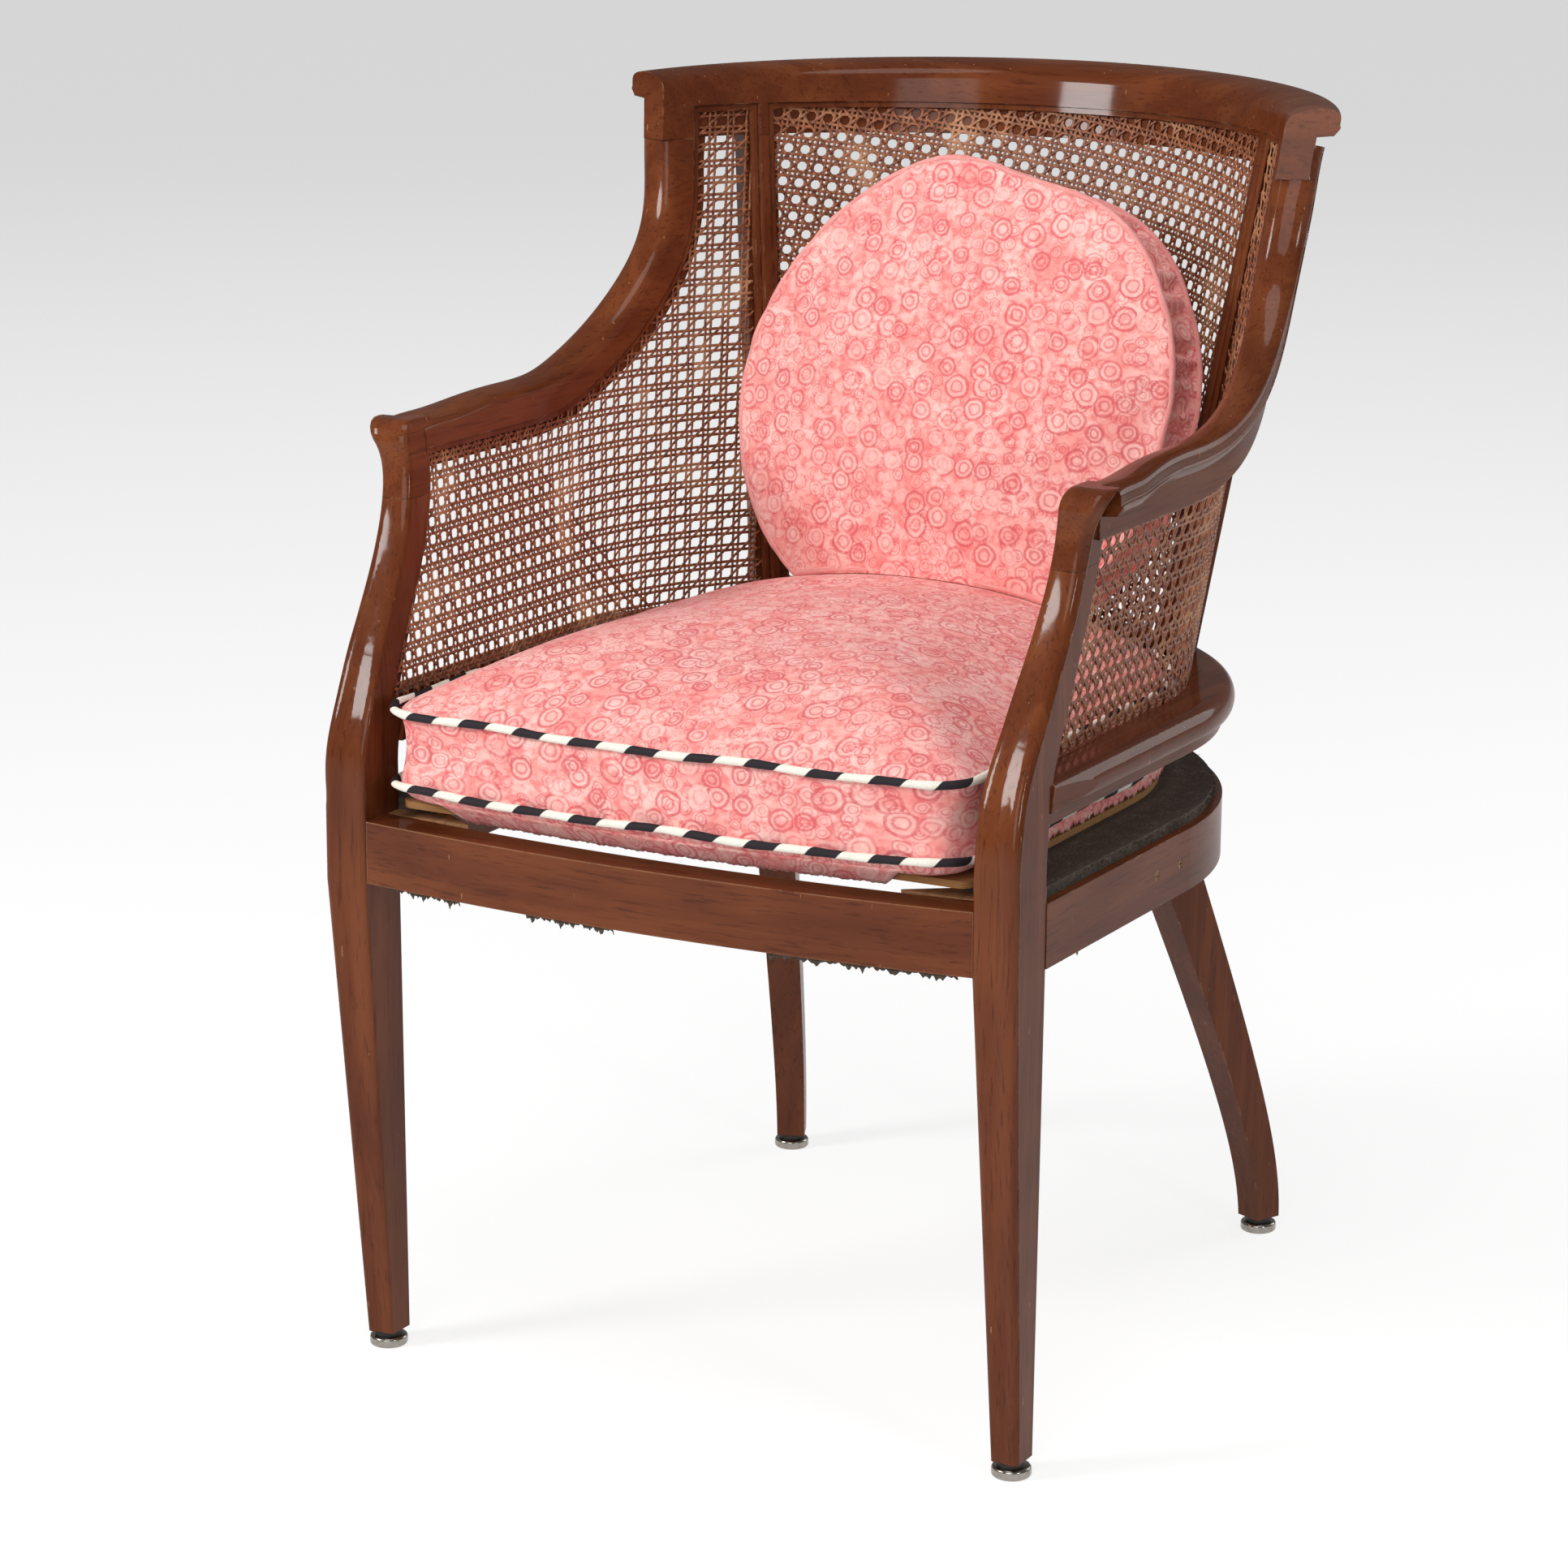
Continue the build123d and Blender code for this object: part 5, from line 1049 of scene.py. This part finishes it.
class ARMCHAIR_OT_seat_cushion(Operator):
    """Makes the D-shaped seat cushion: a boxed cover blown up from a flatter form"""

    bl_idname = "armchair.seat_cushion"
    bl_label = "Seat cushion"

    def execute(self, context):
        cushions = context.scene.armchair_cushions
        piece = self.flat_cover()
        remesh(piece, cushions.voxel)
        points = mesh_points(piece.data) - SHIFT
        edge = seat_outline(0.0, 180)
        nearest = np.min(np.linalg.norm(points[:, None, :2] - edge[None], axis=2), axis=1)
        level = (np.abs(points[:, 2:] - np.array([SEAT_WELT_Z])) < SEAT_SEAM[0]).any(axis=1)
        held = (level & (nearest < SEAT_SEAM[1])) | (points[:, 2] < SEAT_FOOT_Z + SEAT_FOOT_HELD)
        blow_up(piece, held, cushions)
        refine(piece)
        mesh = piece.data
        low, high = SEAT_WELT_Z
        points = mesh_points(mesh) - SHIFT
        top = points[:, 2] > high + 0.002
        rise = (points[:, 2] - high)[top]
        points[top, 2] = high + rise * SEAT_CROWN / rise.max()
        inner = np.clip((points[:, 2] - high) / SEAT_SWELL_FADE, 0.0, 1.0)
        points[:, 2] += inner * lumps(points, SEAT_SWELLS)
        points[:, 2] = np.where(top, pressed(points), points[:, 2])
        set_points(mesh, points + SHIFT)
        heights = stored(mesh.polygons, "center")[:, 2]
        boxing = (heights > low - 0.001) & (heights < high + 0.001)
        boxing &= np.abs(stored(mesh.polygons, "normal")[:, 2]) < BOXING_TURN
        corner = points[corner_vertices(mesh)]
        angle = np.arctan2(corner[:, 0], SEAT_WRAP_Y - corner[:, 1])
        wall = np.column_stack([SEAT_WRAP_RADIUS * angle, corner[:, 2]])
        put_cloth_map(mesh, np.where(boxing[corner_faces(mesh)][:, None], wall, corner[:, :2]))
        dress(piece, pebble_print("seat_print", cushions), "seat_cushion", "pink_cloth", "seat_cushion")
        return {"FINISHED"}

    def flat_cover(self):
        """Cover before it is blown up: the outline drawn in row by row, over a rounded under edge, a
        boxing that pulls in half way up, and a crown that is slacker than the full one."""
        low, high = SEAT_WELT_Z
        rows = [(inset, SEAT_FOOT_Z) for inset in SEAT_UNDER_INSETS]
        for turn in np.radians(SEAT_UNDER_TURNS):
            inset = SEAT_UNDER_INSET * (1.0 - math.cos(turn))
            rows.append((inset, low - (low - SEAT_FOOT_Z) * math.sin(turn)))
        for share in np.linspace(0.0, 1.0, 7):
            rows.append((SEAT_PULL * math.sin(math.pi * share), low + share * (high - low)))
        for share in SEAT_CROWN_SHARES:
            inset = share * SEAT_HALF_WIDTH * SEAT_CROWN_REACH
            rows.append((inset, high + SEAT_SLACK * (float(seat_crown_z(inset)) - high)))
        count = 360
        loops = [np.column_stack([seat_outline(inset, count), np.full(count, z)]) for inset, z in rows]
        return closed_rows("seat_cushion_cover", np.array(loops))


def round_reach(angle):
    """Radius of the round cushion: a circle with bell-shaped hills and hollows where it has settled."""
    reach = np.full(np.shape(angle), ROUND_RADIUS)
    for middle, spread, height in ROUND_SETTLING:
        off = np.degrees(np.angle(np.exp(1j * (angle - math.radians(middle)))))
        reach = reach + height * np.exp(-((off / spread) ** 2))
    return reach


def tipped(points, angle):
    """Points turned back about the X axis by an angle."""
    cosine, sine = math.cos(angle), math.sin(angle)
    y = points[..., 1] * cosine + points[..., 2] * sine
    z = points[..., 2] * cosine - points[..., 1] * sine
    return np.stack([points[..., 0], y, z], axis=-1)


def lean(points):
    """Tips points drawn about the Y axis back by the lean and moves them to the cushion's middle."""
    return tipped(points, ROUND_LEAN) + ROUND_CENTRE


def upright(points):
    """Undoes lean."""
    return tipped(points - ROUND_CENTRE, -ROUND_LEAN)


class ARMCHAIR_OT_back_cushion(Operator):
    """Makes the round back cushion: two crowned faces and a gathered boxing"""

    bl_idname = "armchair.back_cushion"
    bl_label = "Back cushion"

    def execute(self, context):
        cushions = context.scene.armchair_cushions
        piece = self.flat_cover()
        remesh(piece, cushions.voxel)
        local = upright(mesh_points(piece.data) - SHIFT)
        reach = np.hypot(local[:, 0], local[:, 2]) / round_reach(np.arctan2(local[:, 2], local[:, 0]))
        from_seam = np.abs(np.abs(local[:, 1]) - ROUND_BOXING / 2)
        held = (from_seam < ROUND_SEAM[0]) & (reach > ROUND_SEAM[1])
        blow_up(piece, held, cushions)
        refine(piece)
        mesh = piece.data
        local = upright(mesh_points(mesh) - SHIFT)
        self.crown(local)
        self.gather(local)
        points = lean(local)
        points[:, 2] = np.maximum(points[:, 2], seat_top(points) + 0.0003)
        set_points(mesh, points + SHIFT)
        along = stored(mesh.polygons, "normal") @ tipped(np.array([0.0, 1.0, 0.0]), ROUND_LEAN)
        boxing = (np.abs(along) < BOXING_TURN)[corner_faces(mesh)]
        corner = upright(points)[corner_vertices(mesh)]
        wall = np.column_stack([ROUND_RADIUS * np.arctan2(corner[:, 2], corner[:, 0]), corner[:, 1]])
        put_cloth_map(mesh, np.where(boxing[:, None], wall, corner[:, [0, 2]]))
        dress(piece, pebble_print("back_print", cushions), "back_cushion", "pink_cloth", "back_cushion")
        return {"FINISHED"}

    def flat_cover(self):
        """Cover before it is blown up: the round outline carried over a domed front, a boxing that
        pulls in half way, and a domed rear, both domes slacker than the full ones."""
        angle = np.linspace(0.0, 2.0 * math.pi, 300, endpoint=False)
        half = ROUND_BOXING / 2
        shares = np.array(ROUND_FACE_SHARES)
        dome = ROUND_SLACK * (1.0 - shares**ROUND_FULLNESS)
        waist = np.linspace(-1.0, 1.0, 9)
        front = zip(shares, -half - ROUND_CROWN[0] * dome)
        boxing = zip(1.0 - ROUND_PULL * (1.0 - waist**2), half * waist)
        rear = zip(shares[::-1], half + ROUND_CROWN[1] * dome[::-1])
        rows = []
        for share, y in (*front, *boxing, *rear):
            reach = share * round_reach(angle)
            rows.append(np.column_stack([reach * np.cos(angle), 0.0 * angle + y, reach * np.sin(angle)]))
        return closed_rows("back_cushion_cover", lean(np.array(rows)))

    def crown(self, local):
        """Scales the front face to its full crown and gives it the filling's slow swells."""
        half = ROUND_BOXING / 2
        front = np.clip(-(local[:, 1] + half) / ROUND_SWELL_FADE, 0.0, 1.0)
        scale = ROUND_CROWN[0] / (np.max(-local[:, 1]) - half)
        full = -half + (local[:, 1] + half) * scale
        local[:, 1] = np.where(local[:, 1] < -half, full, local[:, 1])
        local[:, 1] += front * lumps(local, ROUND_SWELLS)

    def gather(self, local):
        """Pleats the boxing by two wavering sines round it and draws the cloth in to both seams."""
        turn = np.arctan2(local[:, 2], local[:, 0])
        reach = np.hypot(local[:, 0], local[:, 2])
        depth = np.abs(local[:, 1])
        half = ROUND_BOXING / 2
        pleat = np.zeros_like(turn)
        for weight, number, waver, often in PLEATS:
            pleat += weight * np.sin(number * turn + waver * np.sin(often * turn))
        seam = round_reach(turn)
        outer = smooth((reach / seam - 0.93) / 0.04)
        at_seam = outer * smooth((0.0065 - np.abs(depth - half)) / 0.004)
        wanted = reach + GATHER_HEIGHT * outer * smooth((half - depth) / 0.006) * pleat
        wanted += at_seam * (seam + SEAM_LIP - wanted)
        local[:, [0, 2]] *= (wanted / np.maximum(reach, 1e-6))[:, None]


def swayed(turn, at, rows):
    """A level with the slight waver of sewing by hand: a sum of sines round the loop."""
    level = at
    for height, number, phase in rows:
        level = level + height * np.sin(number * turn + phase * at)
    return level


def cord_loop(name, path, radius, sides=12):
    """Closed piping: a circle carried along a closed path, square to it, with the length along the
    path and the turn round it in metres and turns as its cloth map."""
    count = len(path)
    ahead = np.roll(path, -1, axis=0) - np.roll(path, 1, axis=0)
    ahead /= np.linalg.norm(ahead, axis=1, keepdims=True)
    inward = path.mean(axis=0) - path
    inward -= ahead * np.einsum("ij,ij->i", inward, ahead)[:, None]
    inward /= np.linalg.norm(inward, axis=1, keepdims=True)
    up = np.cross(ahead, inward)
    turn = np.linspace(0.0, 2.0 * math.pi, sides, endpoint=False)
    circle = np.cos(turn)[:, None] * inward[:, None, :] + np.sin(turn)[:, None] * up[:, None, :]
    size = np.ones(count)
    for share, step in CORD_WAVER:
        size += share * np.sin(np.arange(count) * step)
    points = path[:, None, :] + (radius * size)[:, None, None] * circle
    piece = piece_from(name, points, [grid_faces(count, sides, True, True)])
    mesh = piece.data
    travel = travelled(np.concatenate([path, path[:1]]))
    row, spot = np.divmod(corner_vertices(mesh), sides)
    quad_row, quad_spot = np.divmod(corner_faces(mesh), sides)
    row = np.where((quad_row == count - 1) & (row == 0), count, row)
    spot = np.where((quad_spot == sides - 1) & (spot == 0), sides, spot)
    put_cloth_map(mesh, np.column_stack([travel[row], spot / sides]))
    return piece


class ARMCHAIR_OT_piping(Operator):
    """Sews the striped piping round the seat cushion and the plain piping round the back cushion"""

    bl_idname = "armchair.piping"
    bl_label = "Piping"

    def execute(self, context):
        cushions = context.scene.armchair_cushions
        striped = striped_cloth(cushions)
        for name, z in zip(("lower", "upper"), SEAT_WELT_Z):
            plan = seat_outline(-cushions.welt, 640)
            turn = np.linspace(0.0, 2.0 * math.pi, len(plan), endpoint=False)
            path = np.column_stack([plan, swayed(turn, z, SEAT_SWAY)])
            piece = cord_loop(f"seat_piping_{name}", path, cushions.welt)
            dress(piece, striped, "seat_cushion", "striped_piping", f"seat_cushion_welt_{name}")
        plain = pebble_print("piping_print", cushions)
        for name, y in (("front", -ROUND_BOXING / 2), ("rear", ROUND_BOXING / 2)):
            turn = np.linspace(0.0, 2.0 * math.pi, 520, endpoint=False)
            reach = round_reach(turn) + cushions.round_welt * 0.35
            depth = swayed(turn, y, ROUND_SWAY)
            path = lean(np.column_stack([reach * np.cos(turn), depth, reach * np.sin(turn)]))
            path[:, 2] = np.maximum(path[:, 2], seat_top(path) + cushions.round_welt * 1.3)
            piece = cord_loop(f"back_piping_{name}", path, cushions.round_welt)
            dress(piece, plain, "back_cushion", "pink_piping", f"back_cushion_welt_{name}")
        return {"FINISHED"}


def hoop_plan(share, inset):
    """Plan of the seat hoop from the left post (0) round the back (1/2) to the right post (1), drawn
    in by inset: a straight side, a half circle and the other side, by their lengths."""
    radius = HOOP_RADIUS - inset
    side = HOOP_CENTRE_Y - HOOP_FRONT_Y
    total = 2 * side + math.pi * radius
    run = share * total
    angle = np.clip((run - side) / radius, 0.0, math.pi)
    x = radius * np.cos(angle)
    y = HOOP_CENTRE_Y + radius * np.sin(angle)
    before = np.clip(side - run, 0.0, None)
    after = np.clip(run - side - math.pi * radius, 0.0, None)
    gone = before + after
    return np.stack([x * (1.0 - HOOP_NARROW / radius * gone / side), y - gone], axis=-1)


def hoop_frame(share, inset):
    """Points on the seat hoop's plan, with the level directions along it and out of it."""
    plan = hoop_plan(share, inset)
    ahead = hoop_plan(share + 0.001, inset) - plan
    ahead /= np.linalg.norm(ahead, axis=1, keepdims=True)
    return plan, ahead, np.column_stack([ahead[:, 1], -ahead[:, 0]])


class ARMCHAIR_OT_deck_fray(Operator):
    """Frays the torn edge of the deck's old cloth into short threads"""

    bl_idname = "armchair.deck_fray"
    bl_label = "Frayed deck cloth"

    count: IntProperty(name="Threads", description="Number of loose threads", default=900, min=1)

    # Sides of a thread, and its radius from root to tip
    SIDES = 3
    TAPER = (0.00028, 0.00026, 0.0002, 0.0001)

    def execute(self, context):
        chance = np.random.default_rng(11)
        plan, ahead, outward = hoop_frame(chance.uniform(0.01, 0.99, self.count), DECK_INSET)
        level = chance.uniform(RAIL_TOP_Z + 0.002, DECK_TOP_Z - FRAY_ROOT, self.count)
        reach = chance.uniform(*FRAY_REACH, self.count)
        drift = chance.normal(0.0, FRAY_DRIFT, self.count)
        fall = np.minimum(chance.uniform(0.0, FRAY_FALL, self.count), level - RAIL_TOP_Z - FRAY_ROOT)
        steps = np.linspace(0.0, 1.0, len(self.TAPER))[None, :, None]
        sideways = (outward * reach[:, None])[:, None, :] * steps
        sideways = sideways + (ahead * drift[:, None])[:, None, :] * steps**2
        drop = -fall[:, None, None] * steps**2
        root = np.column_stack([plan - FRAY_ROOT * outward, level])
        line = root[:, None, :] + np.concatenate([sideways, drop], axis=2)
        turn = np.linspace(0.0, 2.0 * math.pi, self.SIDES, endpoint=False)[:, None]
        beside = np.column_stack([ahead, np.zeros(self.count)])[:, None, :]
        offset = np.cos(turn) * beside + np.sin(turn) * np.array([0.0, 0.0, 1.0])
        points = line[:, :, None, :] + np.array(self.TAPER)[None, :, None, None] * offset[:, None, :, :]
        ring_starts = np.arange(self.count * len(self.TAPER)).reshape(self.count, -1, 1) * self.SIDES
        walls = tube_walls(ring_starts[:, :-1].reshape(-1, 1), self.SIDES)
        around = np.arange(self.SIDES)
        ends = [ring_starts[:, 0] + around[::-1], ring_starts[:, -1] + around]
        piece = piece_from("deck_frayed_threads", points, [walls, *ends])
        dress(piece, deck_cloth("fray_cloth", context.scene.armchair_finish), "frame", "black_cloth")
        return {"FINISHED"}


def ragged(run, seed, height):
    """Torn edge: a slow wave with sharp nicks, from a seeded sum of triangle waves along the run."""
    chance = np.random.default_rng(seed)
    total = np.zeros_like(run)
    for turns, weight in ((35.0, 0.3), (90.0, 0.3), (210.0, 0.25), (460.0, 0.15)):
        phase = chance.uniform(0.0, 1.0)
        total += weight * np.abs(2.0 * np.mod(run * turns + phase, 1.0) - 1.0)
    return height * total


def cloth_strip(name, points):
    """Thin sheet from a grid of points, given its thickness by Solidify."""
    rows, columns = points.shape[:2]
    piece = piece_from(name, points, [grid_faces(rows, columns)], closed=False)
    wall = piece.modifiers.new("thickness", "SOLIDIFY")
    wall.thickness = CLOTH_THICKNESS
    wall.offset = 0.0
    return piece


class ARMCHAIR_OT_dust_cover(Operator):
    """Hangs what is left of the black dust cover under the rails, torn along its edge"""

    bl_idname = "armchair.dust_cover"
    bl_label = "Dust cover scraps"

    def execute(self, context):
        finish = deck_cloth("dust_cover_cloth", context.scene.armchair_finish)
        strips = []
        for name, start, end in FRONT_SCRAPS:
            x = np.linspace(start, end, 90) * FRONT_RAIL_HALF
            bow = FRONT_RAIL_BOW * (1.0 - (x / FRONT_RAIL_HALF) ** 2)
            plan = np.column_stack([x, POST_FRONT_Y + FRONT_RAIL_MIDDLE - bow])
            strips.append((name, plan, np.tile([0.0, -1.0], (len(x), 1))))
        for name, start, end in HOOP_SCRAPS:
            plan, _, outward = hoop_frame(np.linspace(start, end, 120), SCRAP_INSET)
            strips.append((name, plan, outward))
        for seed, (name, plan, outward) in enumerate(strips):
            run = travelled(plan)
            across = np.linspace(0.0, 1.0, 9)[None, :]
            hang = 0.0004 + ragged(run, seed + 3, SCRAP_HANG)[:, None] ** 2 / SCRAP_HANG
            flat = np.minimum(across / SCRAP_FLAT, 1.0)
            down = np.maximum(across - SCRAP_FLAT, 0.0) / (1.0 - SCRAP_FLAT)
            reach = SCRAP_INNER + SCRAP_REACH * flat - SCRAP_DRIFT * down
            level = RAIL_FOOT_Z - SCRAP_GAP - hang * down
            spread = plan[:, None, :] + reach[..., None] * outward[:, None, :]
            points = np.concatenate([spread, level[..., None]], axis=2)
            piece = cloth_strip(f"dust_cover_{name}", points)
            nodes = ["dust_cover_strips"] if seed == 0 else []
            dress(piece, finish, "frame", "black_cloth", *nodes)
        return {"FINISHED"}


class ARMCHAIR_OT_torn_hem(Operator):
    """Hangs the torn hem of the seat cushion's cover below its lower piping"""

    bl_idname = "armchair.torn_hem"
    bl_label = "Torn hem"

    def execute(self, context):
        finish = pebble_print("hem_print", context.scene.armchair_cushions)
        count = 1600
        for seed, (name, start, end, insets, hem, nicks) in enumerate(HEM_ROWS):
            part = slice(int(start * count), int(end * count))
            edges = [seat_outline(inset, count)[part] for inset in insets]
            under = math.acos(1.0 - max(insets[0], 0.0) / SEAT_UNDER_INSET)
            top = SEAT_WELT_Z[0] - (SEAT_WELT_Z[0] - SEAT_FOOT_Z) * math.sin(under)
            run = travelled(edges[0])
            ends = smooth(np.minimum(run, run[-1] - run) / HEM_FADE)
            drop = HEM_LEAST + ends * (hem + ragged(run, seed + 20, nicks))
            across = np.linspace(0.0, 1.0, 6)
            level = top + HEM_TUCK - across * drop[:, None]
            plan = edges[0][:, None, :] + across[:, None] * (edges[1] - edges[0])[:, None, :]
            piece = cloth_strip(f"torn_hem_{name}", np.concatenate([plan, level[..., None]], axis=2))
            flat = np.stack([run[:, None] + 0.0 * level, level], axis=-1).reshape(-1, 2)
            put_cloth_map(piece.data, flat[corner_vertices(piece.data)])
            dress(piece, finish, "seat_cushion", "pink_cloth")
        return {"FINISHED"}


class ARMCHAIR_OT_stage(Operator):
    """Sets the pale floor, the soft lights, the camera and the plain view settings"""

    bl_idname = "armchair.stage"
    bl_label = "Stage"

    def execute(self, context):
        stage = context.scene.armchair_stage
        self.camera(context)
        self.floor(stage)
        self.lights(context, stage)
        context.scene.view_settings.view_transform = "Standard"
        return {"FINISHED"}

    def camera(self, context):
        """Camera at the photograph's place, with its axes from azimuth, elevation and roll."""
        data = bpy.data.cameras.new("camera")
        data.sensor_width = SENSOR_WIDTH
        data.lens = SENSOR_WIDTH * CAMERA_FOCAL_PIXELS / PICTURE_PIXELS
        data.clip_end = 200.0
        camera = bpy.data.objects.new("camera", data)
        back = Vector((
            math.sin(CAMERA_AZIMUTH) * math.cos(CAMERA_ELEVATION),
            -math.cos(CAMERA_AZIMUTH) * math.cos(CAMERA_ELEVATION),
            math.sin(CAMERA_ELEVATION),
        ))
        right = Vector((0.0, 0.0, 1.0)).cross(back).normalized()
        up = back.cross(right)
        turned_right = right * math.cos(CAMERA_ROLL) + up * math.sin(CAMERA_ROLL)
        turned_up = up * math.cos(CAMERA_ROLL) - right * math.sin(CAMERA_ROLL)
        axes = Matrix((turned_right, turned_up, back)).transposed()
        camera.matrix_world = Matrix.Translation(Vector(CAMERA_PLACE) + Vector(SHIFT)) @ axes.to_4x4()
        context.scene.collection.objects.link(camera)
        context.scene.camera = camera

    def floor(self, stage):
        """Level floor: white near the chair, grading to pale grey far behind it."""
        x, y = np.meshgrid(*[np.linspace(-stage.floor_radius, stage.floor_radius, 9)] * 2)
        points = np.stack([x, y, 0.0 * x], axis=-1)
        piece = piece_from("floor", points, [grid_faces(9, 9)], closed=False)
        made = Finish("pale_floor")
        spot = made.place()
        distance = made.vector_math("LENGTH", spot, (0.0, 0.0, 0.0))
        seen = made.mix(made.span(distance, *FLOOR_FADE), (1.0, 1.0, 1.0), stage.far)
        rays = made.node("LightPath")
        direct = made.math("MAXIMUM", rays.outputs["Is Camera Ray"], rays.outputs["Is Glossy Ray"])
        direct = made.math("MAXIMUM", direct, rays.outputs["Is Transmission Ray"])
        made.surface(
            Base_Color=made.mix(direct, FLOOR_LIT, FLOOR_SEEN),
            Roughness=1.0,
            Specular_IOR_Level=0.0,
            Emission_Color=seen,
            Emission_Strength=made.math("MULTIPLY", direct, FLOOR_GLOW),
        )
        piece.data.materials.append(made.material)

    def lights(self, context, stage):
        """Soft round lights that face the chair, and an even light from all round."""
        aim = Vector((0.0, 0.0, 0.5))
        rows = (
            ("front_left_light", (-1.9, -2.4, 2.0), 1.0, stage.key),
            ("front_light", (0.9, -3.6, 1.7), 2.2, stage.fill),
            ("right_light", (2.5, -1.2, 1.1), 0.45, stage.side),
            ("top_light", (0.3, -0.6, 3.0), 1.6, stage.top),
            ("back_light", (1.7, 2.8, 1.5), 1.8, stage.back),
        )
        for name, place, size, watts in rows:
            data = bpy.data.lights.new(name, "AREA")
            data.shape = "DISK"
            data.size = size
            data.energy = watts
            light = bpy.data.objects.new(name, data)
            light.location = place
            light.rotation_euler = (aim - Vector(place)).to_track_quat("-Z", "Y").to_euler()
            context.scene.collection.objects.link(light)
        world = bpy.data.worlds.new("soft_room")
        world.use_nodes = True
        context.scene.world = world
        ground = world.node_tree.nodes["Background"]
        ground.inputs["Color"].default_value = (1.0, 1.0, 1.0, 1.0)
        ground.inputs["Strength"].default_value = stage.ambient


MAKING_ORDER = (
    ARMCHAIR_OT_stage,
    ARMCHAIR_OT_wood,
    ARMCHAIR_OT_fittings,
    ARMCHAIR_OT_cane,
    ARMCHAIR_OT_seat_cushion,
    ARMCHAIR_OT_back_cushion,
    ARMCHAIR_OT_piping,
    ARMCHAIR_OT_torn_hem,
    ARMCHAIR_OT_deck_fray,
    ARMCHAIR_OT_dust_cover,
)
SETTINGS = (
    ("armchair_cane", CaneSettings),
    ("armchair_cushions", CushionSettings),
    ("armchair_finish", FinishSettings),
    ("armchair_stage", StageSettings),
)


class VIEW3D_PT_armchair(Panel):
    """Lists the armchair's making steps and settings"""

    bl_label = "Barrel armchair"
    bl_space_type = "VIEW_3D"
    bl_region_type = "UI"
    bl_category = "Armchair"

    def draw(self, context):
        for step in MAKING_ORDER:
            self.layout.operator(step.bl_idname)
        for name, group in SETTINGS:
            box = self.layout.box()
            for key in group.__annotations__:
                box.prop(getattr(context.scene, name), key)


def register():
    for name, group in SETTINGS:
        bpy.utils.register_class(group)
        setattr(bpy.types.Scene, name, PointerProperty(type=group))
    for step in (*MAKING_ORDER, VIEW3D_PT_armchair):
        bpy.utils.register_class(step)


def unregister():
    for step in reversed((*MAKING_ORDER, VIEW3D_PT_armchair)):
        bpy.utils.unregister_class(step)
    for name, group in reversed(SETTINGS):
        delattr(bpy.types.Scene, name)
        bpy.utils.unregister_class(group)


def main():
    """Registers the add-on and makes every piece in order."""
    register()
    for step in MAKING_ORDER:
        area, name = step.bl_idname.split(".")
        getattr(getattr(bpy.ops, area), name)()


if __name__ == "__main__":
    main()
